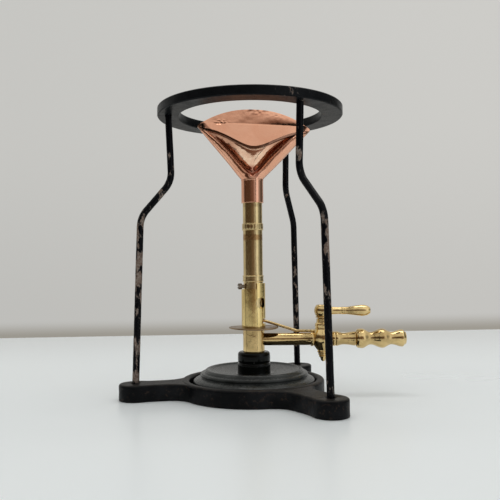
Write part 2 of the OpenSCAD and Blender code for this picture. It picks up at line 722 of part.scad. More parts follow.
module tap_plug() color(bright_brass) translate([tap_x, 0, 0]) difference() {
    union() {
        translate([0, 0, tap_foot_z])
            cylinder(r1 = plug_foot_r, r2 = plug_top_r, h = tap_top_z - tap_foot_z);
        translate([0, 0, tap_top_z - eps])
            cylinder(r = plug_top_r, h = lever_foot_z - tap_top_z - seat_fit);
        translate([-plug_stem_w / 2, -plug_stem_w / 2, tap_top_z])
            cube([plug_stem_w, plug_stem_w, plug_stem_z - tap_top_z]);
        translate([0, 0, finial_z - finial_l + 2.4])
            cylinder(d = finial_stud_d, h = tap_foot_z - finial_z + finial_l - 2.4 + 1);
    }
    translate([0, 0, line_z]) rotate([0, 90, lever_az]) translate([0, 0, -tap_x / 2])
        cylinder(d = way_d, h = tap_x);
}

module tap_lever() color(bright_brass) translate([tap_x, 0, 0]) difference() {
    union() {
        translate([0, 0, lever_z]) rotate_extrude() union() {
            intersection() {
                circle(r = lever_hub_r);
                translate([0, -hub_cut]) square([lever_hub_r, 1.45 * lever_hub_r]);
            }
            translate([0, -hub_cut - lever_skirt]) square([lever_hub_r * 0.8, lever_skirt + 0.1]);
            translate([lever_hub_r * 0.8, -hub_cut - lever_skirt / 2])
                circle(r = lever_skirt / 2, $fn = 32);
        }
        rotate([0, 0, lever_az]) translate([0, 0, lever_z]) turned_x([
            [0, 1], [lever_neck_d / 2 + 0.5, 1], [lever_neck_d / 2 + 0.5, lever_hub_r],
            [lever_neck_d / 2, lever_hub_r + 1], [lever_neck_d / 2 - 0.15, lever_l * 0.4],
            [lever_neck_d / 2 + 0.15, lever_l * 0.42], [lever_neck_d / 2 - 0.1, lever_l * 0.44],
            [lever_neck_d / 2 + 0.1, lever_l * 0.52], [lever_neck_d / 2 + 0.55, lever_l * 0.62],
            [lever_bulb_d / 2 - 0.35, lever_l * 0.74], [lever_bulb_d / 2, lever_l * 0.82],
            [lever_bulb_d / 2 - 0.1, lever_l * 0.88], [lever_bulb_d / 2 - 0.6, lever_l * 0.94],
            [lever_bulb_d / 2 - 1.5, lever_l * 0.985], [lever_bulb_d / 2 - 2.4, lever_l], [0, lever_l]
        ]);
    }
    stem = plug_stem_w + 2 * seat_fit;
    translate([-stem / 2, -stem / 2, lever_foot_z - 1])
        cube([stem, stem, plug_stem_z + seat_fit - lever_foot_z + 1]);
}

module tap_washer() color(bright_brass) translate([tap_x, 0, tap_foot_z - face_fit - washer_t])
    washer(washer_r, finial_stud_d / 2 + seat_fit, washer_t);

// Radius of the finial at a share s of its length: three turned rings on a shrinking stem
function finial_r(s) = let (
    stem = mix(3.5, 1.6, s),
    ring = max([for (at = [0.16, 0.42, 0.68]) 1 - pow((s - at) / 0.1, 2)])
) stem + 0.5 * sqrt(max(ring, 0));

module finial_nut() color(bright_brass) translate([tap_x, 0, finial_z]) difference() {
    steps = 40;
    tip_r = 1.5;
    body_l = finial_l - tip_r;
    rotate_extrude() polygon(concat(
        [[0, 0]],
        [for (k = [0 : steps]) [finial_r(k / steps), -body_l * k / steps]],
        [for (a = [15 : 15 : 90]) [tip_r * cos(a), -body_l - tip_r * sin(a)]]
    ));
    translate([0, 0, -finial_l + 2.2]) cylinder(d = finial_stud_d + 2 * seat_fit, h = finial_l);
}

// ---- Hose tail ----

module tail_nipple() color(bright_brass) difference() {
    union() {
        translate([nipple_x - thread_l + 0.2, 0, line_z]) rotate([0, 90, 0])
            cylinder(d = thread_d, h = thread_l);
        translate([nipple_x, 0, line_z]) turned_x([
            [0, 0], [collar_d / 2 - 0.35, 0], [collar_d / 2, 0.5], [collar_d / 2 - 0.1, 1.6],
            [waist_d / 2 + 0.15, nipple_l * 0.22], [waist_d / 2 - 0.2, nipple_l * 0.36],
            [waist_d / 2 - 0.15, nipple_l * 0.52], [waist_d / 2 + 0.3, nipple_l * 0.78],
            [waist_d / 2 + 0.7, nipple_l * 0.96], [waist_d / 2 + 0.5, nipple_l], [0, nipple_l]
        ]);
        translate([barb_x - 0.5, 0, line_z]) rotate([0, 90, 0])
            cylinder(d = thread_d, h = tail_thread_l + 0.5);
    }
    translate([nipple_x - thread_l, 0, line_z]) rotate([0, 90, 0]) cylinder(d = way_d, h = barb_l);
}

// Radius of the hose connector at a share of its length, between reeds and waists
function reed_r(s) = let (
    marks = [[0, waist_d / 2 + 1], [0.05, reed_d / 2 - 0.2], [0.12, reed_d / 2],
             [0.3, waist_d / 2 + 0.1], [0.53, reed_d / 2 - 0.1], [0.72, waist_d / 2 + 0.1],
             [0.93, end_reed_d / 2], [1, end_reed_d / 2 - 1.5]],
    i = max([for (k = [0 : len(marks) - 2]) s >= marks[k][0] ? k : 0]),
    t = (s - marks[i][0]) / (marks[i + 1][0] - marks[i][0])
) mix(marks[i][1], marks[i + 1][1], (1 - cos(180 * t)) / 2);

module hose_barb() color(bright_brass) difference() {
    steps = 64;
    translate([barb_x, 0, line_z]) turned_x(concat(
        [[0, 0]],
        [for (k = [0 : steps]) [reed_r(k / steps), barb_l * k / steps]],
        [[0, barb_l]]
    ));
    translate([barb_x - 1, 0, line_z]) rotate([0, 90, 0])
        cylinder(d = thread_d + 2 * seat_fit, h = tail_thread_l + 1.1);
    translate([barb_x, 0, line_z]) rotate([0, 90, 0]) cylinder(d = way_d + 1, h = barb_l + 1);
}

stand_base();
leg(0);  // leg_left
leg(1);  // leg_front
leg(2);  // leg_back
trivet_ring();
burner_base();
gas_body();
gas_jet();
burner_tube();
band(low_band_z, low_band_h);  // band_lower
band(high_band_z, high_band_h);  // band_upper
air_sleeve();
thumb_disc();
stop_screw();
spreader_socket();
spreader_fan();
gas_pipe();
bypass_tube();
tap_body();
tap_plug();
tap_lever();
tap_washer();
finial_nut();
tail_nipple();
hose_barb();
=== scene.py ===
"""Looks of a bunsen burner with a copper fishtail spreader in its ring stand.

Metres in the shared frame; sizes written in millimetres are scaled by MM.
"""

import json
from math import atan2, ceil, cos, degrees, exp, hypot, pi, radians, sin, sqrt, tan

import bmesh
import bpy
from mathutils import Matrix, Vector, noise

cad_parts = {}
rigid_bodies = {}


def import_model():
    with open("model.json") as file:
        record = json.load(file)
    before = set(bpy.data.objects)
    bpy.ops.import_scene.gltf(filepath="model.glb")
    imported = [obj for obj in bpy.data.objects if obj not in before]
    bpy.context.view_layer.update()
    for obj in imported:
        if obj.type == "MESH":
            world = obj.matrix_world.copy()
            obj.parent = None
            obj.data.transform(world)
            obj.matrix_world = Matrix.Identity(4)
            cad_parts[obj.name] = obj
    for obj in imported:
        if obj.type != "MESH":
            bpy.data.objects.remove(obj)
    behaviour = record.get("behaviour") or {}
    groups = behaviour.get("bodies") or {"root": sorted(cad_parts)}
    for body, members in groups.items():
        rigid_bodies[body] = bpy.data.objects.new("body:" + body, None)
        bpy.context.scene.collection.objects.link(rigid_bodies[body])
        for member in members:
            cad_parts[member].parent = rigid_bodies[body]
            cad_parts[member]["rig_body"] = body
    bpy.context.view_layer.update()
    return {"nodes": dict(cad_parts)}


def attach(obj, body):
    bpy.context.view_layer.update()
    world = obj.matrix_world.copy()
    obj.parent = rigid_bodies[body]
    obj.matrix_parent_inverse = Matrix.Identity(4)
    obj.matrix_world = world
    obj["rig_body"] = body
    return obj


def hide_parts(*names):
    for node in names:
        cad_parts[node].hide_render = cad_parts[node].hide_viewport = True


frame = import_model()
bpy.context.scene.view_settings.view_transform = "Standard"
MM = 0.001


# ---- Camera, stage and light ----


CAMERA_AT, LENS_MM, SENSOR_MM = (0, -0.4269, 0.083), 47.22, 36
YAW, PITCH, ROLL = -0.0044, 0.0246, -0.0104


def make_camera():
    level = cos(PITCH)
    ahead = Vector((sin(YAW) * level, cos(YAW) * level, sin(PITCH)))
    right = Vector((cos(YAW), -sin(YAW), 0))
    up = right.cross(ahead)
    x_axis = right * cos(ROLL) + up * sin(ROLL)
    y_axis = up * cos(ROLL) - right * sin(ROLL)
    data = bpy.data.cameras.new("camera")
    data.lens, data.sensor_width = LENS_MM, SENSOR_MM
    data.clip_start, data.clip_end = 0.01, 50
    cam = bpy.data.objects.new("camera", data)
    bpy.context.scene.collection.objects.link(cam)
    turn = Matrix((x_axis, y_axis, -ahead)).transposed().to_4x4()
    cam.matrix_world = Matrix.Translation(CAMERA_AT) @ turn
    bpy.context.scene.camera = cam


class Shader:
    """A small helper for building node materials."""

    def __init__(self, name, tree=None):
        if tree is None:
            self.mat = bpy.data.materials.new(name)
            self.mat.use_nodes = True
            tree = self.mat.node_tree
        self.tree = tree
        tree.nodes.clear()

    def node(self, kind, links=None, **props):
        made = self.tree.nodes.new(kind)
        for key, value in props.items():
            setattr(made, key, value)
        for key, value in (links or {}).items():
            self.put(made, key, value)
        return made

    def put(self, node, key, value):
        socket = node.inputs[key]
        if isinstance(value, bpy.types.NodeSocket):
            self.tree.links.new(value, socket)
        elif isinstance(value, bpy.types.Node):
            self.tree.links.new(value.outputs[0], socket)
        else:
            socket.default_value = value

    def math(self, op, a, b=0.0, clamp=False):
        return self.node("ShaderNodeMath", {0: a, 1: b}, operation=op, use_clamp=clamp).outputs[0]

    def plus(self, a, b):
        return self.math("ADD", a, b)

    def minus(self, a, b, clamp=False):
        return self.math("SUBTRACT", a, b, clamp)

    def times(self, a, b):
        return self.math("MULTIPLY", a, b)

    def span(self, value, low, high, to_low=0.0, to_high=1.0):
        return self.node(
            "ShaderNodeMapRange",
            {"Value": value, "From Min": low, "From Max": high, "To Min": to_low, "To Max": to_high},
            interpolation_type="SMOOTHSTEP",
        ).outputs[0]

    def mix(self, share, a, b, blend="MIX"):
        made = self.node("ShaderNodeMix", data_type="RGBA", blend_type=blend)
        for key, value in ((0, share), (6, a), (7, b)):
            if isinstance(value, tuple):
                value = (*value, 1)
            self.put(made, key, value)
        return made.outputs[2]

    def noise(self, where, scale, detail=4.0, rough=0.55, warp=0.0):
        return self.node(
            "ShaderNodeTexNoise",
            {"Vector": where, "Scale": scale, "Detail": detail, "Roughness": rough, "Distortion": warp},
        ).outputs[0]

    def place(self):
        return self.node("ShaderNodeTexCoord").outputs["Object"]

    def geometry(self, which):
        return self.node("ShaderNodeNewGeometry").outputs[which]

    def axes(self, where):
        return self.node("ShaderNodeSeparateXYZ", {0: where}).outputs

    def scaled(self, where, by):
        return self.node("ShaderNodeVectorMath", {0: where, 1: by}, operation="MULTIPLY").outputs[0]

    def bump(self, height, depth, strength=1.0, normal=None):
        links = {"Height": height, "Distance": depth, "Strength": strength}
        if normal is not None:
            links["Normal"] = normal
        return self.node("ShaderNodeBump", links).outputs[0]

    def finish(self, **inputs):
        body = self.node("ShaderNodeBsdfPrincipled")
        for key, value in inputs.items():
            key = key.replace("_", " ")
            if isinstance(value, tuple) and len(value) == 3:
                value = (*value, 1)
            self.put(body, key, value)
        self.node("ShaderNodeOutputMaterial", {"Surface": body.outputs[0]})
        return self.mat


# The table ends at TABLE_DEPTH; its far edge then moves back by the shift and slants along X. The
# wall's band of painted shade along its foot slopes a little too

TABLE_DEPTH, FAR_EDGE_SHIFT, FAR_EDGE_SLANT = 0.329, 0.0553, 0.0773
WALL_Y, FOOT_SHADE_SLOPE = 0.75, 0.0093


def stage_materials():
    s = Shader("table_top")
    where = s.place()
    cloud = s.noise(where, 3.0)
    shade = s.mix(s.span(cloud, 0.3, 0.7), (0.84, 0.892, 0.915), (0.86, 0.907, 0.924))
    # painted shade: the table top darkens towards its far edge
    away = s.axes(where)[1]
    shade = s.mix(s.span(away, 0.10, 0.40), shade, (0.73, 0.762, 0.775))
    table = s.finish(
        Base_Color=shade,
        Roughness=s.span(cloud, 0.3, 0.7, 0.27, 0.31),
        Specular_IOR_Level=0.45,
    )
    s = Shader("back_wall")
    where = s.place()
    wide, _, height = s.axes(where)
    height = s.minus(height, s.times(wide, FOOT_SHADE_SLOPE))
    paint = s.mix(s.span(wide, -0.5, 0.5), (0.60, 0.597, 0.573), (0.64, 0.634, 0.608))
    # painted shade: the wall is darkened towards its bottom, and more in a band along its foot
    shaded = s.mix(1.0, paint, (0.93, 0.93, 0.93), "MULTIPLY")
    paint = s.mix(s.span(height, -0.03, 0.35), shaded, paint)
    foot_shade = s.mix(s.span(height, -0.038, -0.006), (0.62, 0.59, 0.54), (1.0, 1.0, 1.0))
    paint = s.mix(1.0, paint, foot_shade, "MULTIPLY")
    wall = s.finish(
        Base_Color=paint,
        Roughness=0.85,
        Specular_IOR_Level=0.2,
        Normal=s.bump(s.noise(where, 90.0), 0.001, 0.1),
    )
    # painted glow: the wall shines with its own colour, painted shade included, to the camera and in
    # reflections
    path = s.node("ShaderNodeLightPath").outputs
    seen = s.math("MAXIMUM", path["Is Camera Ray"], path["Is Glossy Ray"])
    seen = s.times(s.math("MAXIMUM", seen, path["Is Transmission Ray"]), 0.85)
    glow = s.node("ShaderNodeEmission", {"Color": paint, "Strength": 1.0})
    out = next(n for n in s.tree.nodes if n.bl_idname == "ShaderNodeOutputMaterial")
    lit = out.inputs["Surface"].links[0].from_node
    s.put(out, "Surface", s.node("ShaderNodeMixShader", {0: seen, 1: lit, 2: glow}))
    return table, wall


def box_mesh(lo, hi):
    """A bmesh box between two corners."""
    bm = bmesh.new()
    bmesh.ops.create_cube(bm, size=1)
    for v in bm.verts:
        v.co = Vector(lo[i] if v.co[i] < 0 else hi[i] for i in range(3))
    return bm


def make_stage():
    table, wall = stage_materials()
    bm = box_mesh((-1.3, -0.65, -0.03), (1.3, TABLE_DEPTH, 0))
    edges = [e for e in bm.edges if abs(sum(v.co.y for v in e.verts) / 2 - TABLE_DEPTH) < 1e-4]
    bmesh.ops.bevel(bm, geom=edges, offset=0.003, segments=4, affect="EDGES")
    for v in bm.verts:
        if v.co.y > 0.3:
            v.co.y += FAR_EDGE_SHIFT + FAR_EDGE_SLANT * v.co.x
    mesh = bpy.data.meshes.new("table")
    bm.to_mesh(mesh)
    mesh.materials.append(table)
    top = bpy.data.objects.new("table", mesh)
    mesh = bpy.data.meshes.new("wall")
    left, right = -2.6, 0.72
    corners = [(left, WALL_Y, -1), (right, WALL_Y, -1), (right, WALL_Y, 3), (left, WALL_Y, 3)]
    mesh.from_pydata(corners, [], [(0, 1, 2, 3)])
    mesh.materials.append(wall)
    back = bpy.data.objects.new("wall", mesh)
    for o in (top, back):
        bpy.context.scene.collection.objects.link(o)


def area_light(name, at, aim, width, height, power, shade=(1, 1, 1)):
    data = bpy.data.lights.new(name, "AREA")
    data.shape, data.size, data.size_y = "RECTANGLE", width, height
    data.energy, data.color = power, shade
    lamp = bpy.data.objects.new(name, data)
    bpy.context.scene.collection.objects.link(lamp)
    facing = (Vector(aim) - Vector(at)).to_track_quat("-Z", "Y").to_matrix().to_4x4()
    lamp.matrix_world = Matrix.Translation(at) @ facing


def make_light():
    world = bpy.data.worlds.new("room")
    bpy.context.scene.world = world
    world.use_nodes = True
    s = Shader("room", world.node_tree)
    way = s.node("ShaderNodeTexCoord").outputs["Generated"]
    x, y, z = s.axes(way)
    ceiling = s.span(z, 0.26, 0.6)
    az = s.math("ARCTAN2", x, s.times(y, -1.0))
    front = s.mix(s.span(az, -0.55, 0.1), (0.085, 0.06, 0.042), (0.18, 0.125, 0.095))
    dim = s.mix(s.span(az, 1.15, 1.8), (0.42, 0.43, 0.43), (0.11, 0.11, 0.10))
    right = s.mix(s.span(az, 1.0, 1.27), (1.0, 1.03, 1.08), dim)
    low = s.mix(s.span(az, 0.12, 0.92), front, right)
    low = s.mix(s.span(az, -1.5, -1.8), low, (0.45, 0.46, 0.46))
    cloud = s.span(s.noise(way, 1.3, 0.0), 0.3, 0.7)
    shade = s.mix(ceiling, low, s.mix(cloud, (0.74, 0.735, 0.715), (0.95, 0.945, 0.92)))
    seen = s.node("ShaderNodeLightPath")
    shade = s.mix(seen.outputs["Is Camera Ray"], shade, (0.60, 0.60, 0.585))
    back = s.node("ShaderNodeBackground", {"Color": shade, "Strength": 1.0})
    s.node("ShaderNodeOutputWorld", {"Surface": back.outputs[0]})
    area_light("ceiling", (0.1, 0.14, 1.7), (0, 0, 0), 1.3, 0.6, 4.5, (1.0, 0.99, 0.975))
    area_light("wall_wash", (0, 0.30, 1.5), (0, 0.75, 0.1), 2.0, 0.25, 4, (1.0, 0.99, 0.97))


make_camera()
make_stage()
make_light()


# ---- Materials of the object ----

TURNED_LINES = (900.0, 900.0, 9000.0)
RUBBED_LINES = (5200.0, 420.0, 700.0)
DENTS = (120.0, 0.16)
BOSS_R = 10.5


def metal(name, bright, deep, rough, tarnish, grain, lines=TURNED_LINES, dents=DENTS, stain=(), zones=None):
    """A polished metal: colour drift, tarnish in patches, fine scratches and small dents.

    lines squeezes the scratches, dents is their scale and strength, stain lists heat rings as (low,
    high, colour, share), and zones adds colours of its own.
    """
    s = Shader(name)
    where = s.place()
    cloud = s.noise(where, 55.0, 5.0, 0.6, 0.6)
    patch = s.noise(where, 160.0, 6.0, 0.65, 0.3)
    scratch = s.noise(s.scaled(where, lines), 1.0, 3.0, 0.6)
    dust = s.noise(where, 1900.0, 3.0, 0.7)
    shade = s.mix(s.span(cloud, 0.35, 0.68), bright, deep)
    worn = s.span(patch, 0.62 - 0.2 * grain, 0.74)
    shade = s.mix(s.times(worn, 0.55 * grain), shade, tarnish)
    edge = s.geometry("Pointiness")
    hollow = s.span(edge, 0.495, 0.44)
    shade = s.mix(s.times(hollow, 0.6), shade, tarnish)
    polish = s.span(edge, 0.515, 0.58)
    shade = s.mix(s.times(polish, 0.5), shade, tuple(min(1, c * 1.12 + 0.04) for c in bright))
    if zones:
        shade = zones(s, where, shade)
    roughness = s.span(scratch, 0.3, 0.7, rough * 0.8, rough * 1.25)
    roughness = s.plus(roughness, s.times(worn, 0.13 * grain))
    if stain:
        wave = s.times(s.minus(s.noise(where, 260.0), 0.5), 0.0016)
        height = s.plus(s.axes(where)[2], wave)
    for low, high, burnt, share in stain:
        ring = s.span(height, low - 0.0007, low + 0.0004)
        ring = s.times(ring, s.span(height, high + 0.0006, high - 0.0006))
        ring = s.times(ring, share)
        shade = s.mix(ring, shade, burnt)
        roughness = s.plus(roughness, s.times(ring, 0.12))
    normal = s.bump(scratch, 0.00003, 0.35)
    normal = s.bump(s.noise(where, dents[0], 2.0), 0.0006, dents[1], normal)
    normal = s.bump(s.span(dust, 0.62, 0.7), 0.00003, 0.16, normal)
    return s.finish(Base_Color=shade, Metallic=1.0, Roughness=roughness, Normal=normal)


def enamel(name, base, chip, under, gloss, amount, low_wear=0.0):
    """Black paint over iron: brush sag, dust, chips down to primer and rust, and rubbed edges."""
    s = Shader(name)
    where = s.place()
    height = s.axes(where)[2]
    broad = s.noise(where, 28.0, 3.0)
    flake = s.noise(s.scaled(where, (1.0, 1.0, 0.42)), 230.0, 7.0, 0.66, 0.4)
    fine = s.noise(where, 900.0, 4.0, 0.65)
    grit = s.noise(where, 2600.0, 2.0)
    edge = s.geometry("Pointiness")
    rub = s.span(edge, 0.53, 0.60)
    wear = s.plus(s.times(s.span(broad, 0.42, 0.66), 0.12), amount)
    if low_wear:
        band = s.times(s.span(height, 0.125, 0.10), s.span(height, 0.0, 0.03, 0.3, 1.0))
        wear = s.plus(wear, s.times(band, low_wear))
    wear = s.plus(wear, s.times(rub, 0.16))
    value = s.plus(flake, wear)
    chipped = s.span(value, 0.735, 0.765)
    rim = s.minus(s.span(value, 0.715, 0.745), chipped, True)
    rust = s.mix(s.span(fine, 0.4, 0.62), chip, under)
    dusty = s.span(s.noise(where, 90.0, 5.0, 0.6), 0.45, 0.8)
    paint = s.mix(s.times(dusty, 0.35), base, tuple(c * 1.8 + 0.0025 for c in base))
    shade = s.mix(chipped, paint, rust)
    shade = s.mix(s.times(rim, 0.5), shade, (0.10, 0.095, 0.09))
    rough = s.plus(s.span(fine, 0.3, 0.7, gloss, gloss + 0.12), s.times(chipped, 0.42))
    rough = s.plus(rough, s.times(dusty, 0.12))
    normal = s.bump(chipped, 0.00012, -0.8)
    normal = s.bump(s.noise(where, 170.0, 3.0), 0.0007, 0.3, normal)
    normal = s.bump(grit, 0.00006, 0.25, normal)
    return s.finish(Base_Color=shade, Roughness=rough, Normal=normal, Specular_IOR_Level=0.085)


def casting(name, base, dust, rust, gloss, dust_share, rust_share, bright_edge):
    """Japanned cast iron: sand-cast grain, dust on what faces up, rust freckles and rubbed edges."""
    s = Shader(name)
    where = s.place()
    up = s.axes(s.geometry("Normal"))[2]
    broad = s.noise(where, 40.0, 5.0, 0.6)
    speck = s.noise(where, 420.0, 6.0, 0.7)
    sand = s.noise(where, 1100.0, 4.0, 0.7)
    shade = s.mix(s.span(broad, 0.42, 0.66), base, tuple(c * 2.2 + 0.004 for c in base))
    lies = s.times(s.span(up, 0.4, 0.95), s.span(broad, 0.3, 0.75, 0.35, 1.0))
    lies = s.times(lies, s.span(speck, 0.3, 0.6, 0.4, 1.0))
    shade = s.mix(s.times(lies, dust_share), shade, dust)
    freckle = s.span(s.plus(speck, s.times(broad, 0.3)), 0.70, 0.82)
    shade = s.mix(s.times(freckle, rust_share), shade, rust)
    rub = s.span(s.geometry("Pointiness"), 0.52, 0.60)
    rub = s.times(rub, s.span(speck, 0.35, 0.6, 0.3, 1.0))
    shade = s.mix(s.times(rub, 0.5), shade, bright_edge)
    rough = s.span(sand, 0.3, 0.7, gloss - 0.05, gloss + 0.09)
    rough = s.plus(rough, s.times(lies, 0.25 * dust_share))
    normal = s.bump(sand, 0.00012, 0.35)
    normal = s.bump(s.noise(where, 260.0, 3.0), 0.0006, 0.25, normal)
    return s.finish(Base_Color=shade, Roughness=rough, Normal=normal, Specular_IOR_Level=0.09)


def turned_iron(name, base, shine, gloss):
    """Black japanned iron turned on a lathe: rings of tool marks, light dust and a darker, shinier boss."""
    s = Shader(name)
    where = s.place()
    x, y, _ = s.axes(where)
    radius = s.math("SQRT", s.plus(s.times(x, x), s.times(y, y)))
    marks = {"W": s.times(radius, 2600.0), "Scale": 1.0, "Detail": 2.0}
    rings = s.node("ShaderNodeTexNoise", marks, noise_dimensions="1D").outputs[0]
    broad = s.noise(where, 60.0, 5.0, 0.6)
    speck = s.noise(where, 520.0, 6.0, 0.7)
    up = s.axes(s.geometry("Normal"))[2]
    shade = s.mix(s.span(broad, 0.38, 0.64), base, shine)
    boss = s.span(radius, (BOSS_R + 1.7) * MM, (BOSS_R + 0.7) * MM)
    shade = s.mix(boss, shade, (0.0015, 0.0022, 0.0016))
    dust = s.times(s.span(up, 0.5, 1.0), s.span(speck, 0.4, 0.75))
    dust = s.times(dust, s.minus(1.0, boss))
    shade = s.mix(s.times(dust, 0.3), shade, (0.07, 0.068, 0.062))
    edge = s.geometry("Pointiness")
    shade = s.mix(s.span(edge, 0.52, 0.58, 0.0, 0.5), shade, (0.09, 0.09, 0.09))
    rough = s.span(rings, 0.3, 0.7, gloss - 0.04, gloss + 0.06)
    rough = s.plus(rough, s.times(dust, 0.15))
    rough = s.minus(rough, s.times(boss, 0.2))
    normal = s.bump(rings, 0.00005, 0.4)
    normal = s.bump(speck, 0.00012, 0.25, normal)
    gleam = s.span(boss, 0.0, 1.0, 0.25, 0.14)
    return s.finish(Base_Color=shade, Roughness=rough, Normal=normal, Specular_IOR_Level=gleam)


BRASS = metal(
    "polished_brass", (0.82, 0.61, 0.29), (0.48, 0.34, 0.15), 0.09, (0.34, 0.21, 0.09), 0.5,
    dents=(210.0, 0.34),
)
TUBE = metal(
    "tube_brass", (0.74, 0.57, 0.29), (0.62, 0.48, 0.24), 0.15, (0.28, 0.20, 0.10), 0.6,
    stain=[(0.0999, 0.1035, (0.34, 0.17, 0.06), 0.75), (0.1215, 0.1235, (0.32, 0.22, 0.10), 0.4)],
)
SLEEVE = metal("sleeve_brass", (0.88, 0.68, 0.30), (0.78, 0.58, 0.23), 0.12, (0.38, 0.24, 0.09), 0.4)
DULL = metal("dull_brass", (0.32, 0.215, 0.12), (0.24, 0.16, 0.09), 0.33, (0.09, 0.06, 0.04), 1.0)
SCREW = metal("dark_screw", (0.24, 0.20, 0.16), (0.16, 0.13, 0.11), 0.38, (0.06, 0.04, 0.03), 0.9)
PAINT = enamel(
    "leg_paint", (0.002, 0.0022, 0.0036), (0.16, 0.11, 0.085), (0.26, 0.22, 0.19), 0.2, 0.05,
    low_wear=0.1,
)
RING = enamel("ring_paint", (0.0035, 0.0042, 0.0052), (0.09, 0.06, 0.05), (0.15, 0.12, 0.10), 0.26, 0.02)
CAST = casting(
    "stand_cast", (0.0022, 0.0026, 0.0034), (0.055, 0.048, 0.04), (0.052, 0.033, 0.024), 0.36,
    dust_share=0.5, rust_share=0.5, bright_edge=(0.05, 0.047, 0.043),
)
FOOT = turned_iron("foot_japan", (0.010, 0.0118, 0.0115), (0.032, 0.036, 0.035), 0.24)


# ---- Pieces ----


def add_piece(name, mesh, material, body, nodes, sharp=38):
    """A piece of a mesh in metres that rides on a body, wears a material and stands in for CAD nodes."""
    mesh.materials.clear()
    mesh.materials.append(material)
    mesh.shade_smooth()
    mesh.set_sharp_from_angle(angle=radians(sharp))
    piece = bpy.data.objects.new(name, mesh)
    bpy.context.scene.collection.objects.link(piece)
    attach(piece, body)
    if nodes:
        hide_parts(*nodes)
    return piece


def blank(points, faces):
    """A welded mesh object of points in millimetres, not yet a piece."""
    mesh = bpy.data.meshes.new("blank")
    mesh.from_pydata([Vector(p) * MM for p in points], [], faces)
    bm = bmesh.new()
    bm.from_mesh(mesh)
    bmesh.ops.remove_doubles(bm, verts=bm.verts, dist=1e-7)
    bmesh.ops.recalc_face_normals(bm, faces=bm.faces)
    bm.to_mesh(mesh)
    made = bpy.data.objects.new("blank", mesh)
    bpy.context.scene.collection.objects.link(made)
    return made


def carved(solid, cutters=()):
    """The mesh of a blank with other blanks cut out of it."""
    for cutter in cutters:
        cut = solid.modifiers.new("cut", "BOOLEAN")
        cut.operation, cut.solver, cut.object = "DIFFERENCE", "EXACT", cutter
    graph = bpy.context.evaluated_depsgraph_get()
    mesh = bpy.data.meshes.new_from_object(solid.evaluated_get(graph))
    for o in (solid, *cutters):
        bpy.data.objects.remove(o)
    return mesh


def from_points(name, points, faces, material, body, slot, nodes, sharp=38, cutters=(), edge=0.0):
    """A piece of points and faces, with cutters taken out of it and its edges bevelled by edge."""
    piece = add_piece(name, carved(blank(points, faces), cutters), material, body, nodes, sharp)
    if edge:
        soft = piece.modifiers.new("edge", "BEVEL")
        soft.width, soft.segments, soft.limit_method = edge * MM, 2, "ANGLE"
        soft.angle_limit, soft.harden_normals = radians(50), True
    return piece


def dress(node, material):
    """The CAD node's own surface, welded, for a piece that is hidden inside its neighbours."""
    bm = bmesh.new()
    bm.from_mesh(frame["nodes"][node].data)
    bmesh.ops.remove_doubles(bm, verts=bm.verts, dist=1e-6)
    mesh = bpy.data.meshes.new(node + "_skin")
    bm.to_mesh(mesh)
    return add_piece(node + "_skin", mesh, material, frame["nodes"][node]["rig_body"], [node])


def softened(profile, times=2, closed=False):
    """A profile with its corners cut away again and again, so that it turns smoothly."""
    for _ in range(times):
        out = [] if closed else [profile[0]]
        for a, b in zip(profile, profile[1:] + profile[:1] if closed else profile[1:]):
            out.append((a[0] * 0.75 + b[0] * 0.25, a[1] * 0.75 + b[1] * 0.25))
            out.append((a[0] * 0.25 + b[0] * 0.75, a[1] * 0.25 + b[1] * 0.75))
        if not closed:
            out.append(profile[-1])
        profile = out
    return profile


def looped(profile, near=0.35, gap=2.5):
    """The profile with extra points close to its corners and along its long sides."""
    out = []
    for a, b in zip(profile, profile[1:]):
        a, b = Vector(a), Vector(b)
        length = (b - a).length
        out.append(tuple(a))
        if length > 3 * near:
            n = ceil((length - 2 * near) / gap)
            out += [tuple(a.lerp(b, (near + (length - 2 * near) * k / n) / length)) for k in range(n + 1)]
    return [*out, tuple(profile[-1])]


def rings_to_mesh(rings, closed=False):
    """Points and faces of rings of equal length, one after another."""
    count, m = len(rings), len(rings[0])
    faces = []
    for i in range(count if closed else count - 1):
        j = (i + 1) % count
        for k in range(m):
            q = (k + 1) % m
            faces.append((i * m + k, j * m + k, j * m + q, i * m + q))
    if not closed:
        faces.append(tuple(range(m)))
        faces.append(tuple((count - 1) * m + k for k in reversed(range(m))))
    return [p for r in rings for p in r], faces


def lathe(profile, steps=128, axis="z", at=(0, 0, 0), az=0.0):
    """Rings of a profile of (radius, distance) about an axis."""
    turn = Matrix.Rotation(radians(az), 4, "Z")
    if axis == "x":
        turn = turn @ Matrix.Rotation(radians(90), 4, "Y")
    rings = []
    for r, z in profile:
        ring = []
        for k in range(steps):
            a = 2 * pi * k / steps
            ring.append(turn @ Vector((r * cos(a), r * sin(a), z)) + Vector(at))
        rings.append(ring)
    return rings


def turned(name, profile, material, body, slot, nodes, cutters=(), edge=0.0, steps=128, sharp=38, **place):
    """A piece turned from a closed profile."""
    points, faces = rings_to_mesh(lathe(profile, steps, **place), closed=True)
    return from_points(name, points, faces, material, body, slot, nodes, sharp, cutters, edge)


def joined(*parts):
    """Points and faces of several (points, faces) pairs as one."""
    points, faces = [], []
    for more, extra in parts:
        faces += [tuple(i + len(points) for i in f) for f in extra]
        points += more
    return points, faces


def rod(radius, start, end, steps=48, **place):
    """A plain cylinder along the lathe's axis, used as a cutter."""
    return blank(*rings_to_mesh(lathe([(radius, start), (radius, end)], steps, **place)))


def wedge(az_from, az_to, r_in, r_out, low, high):
    """Part of a ring between two azimuths, used as a cutter."""
    steps = ceil(abs(az_to - az_from) / 3)
    rings = []
    for k in range(steps + 1):
        a = radians(az_from + (az_to - az_from) * k / steps)
        corners = ((r_in, low), (r_out, low), (r_out, high), (r_in, high))
        rings.append([Vector((r * cos(a), r * sin(a), z)) for r, z in corners])
    return blank(*rings_to_mesh(rings))


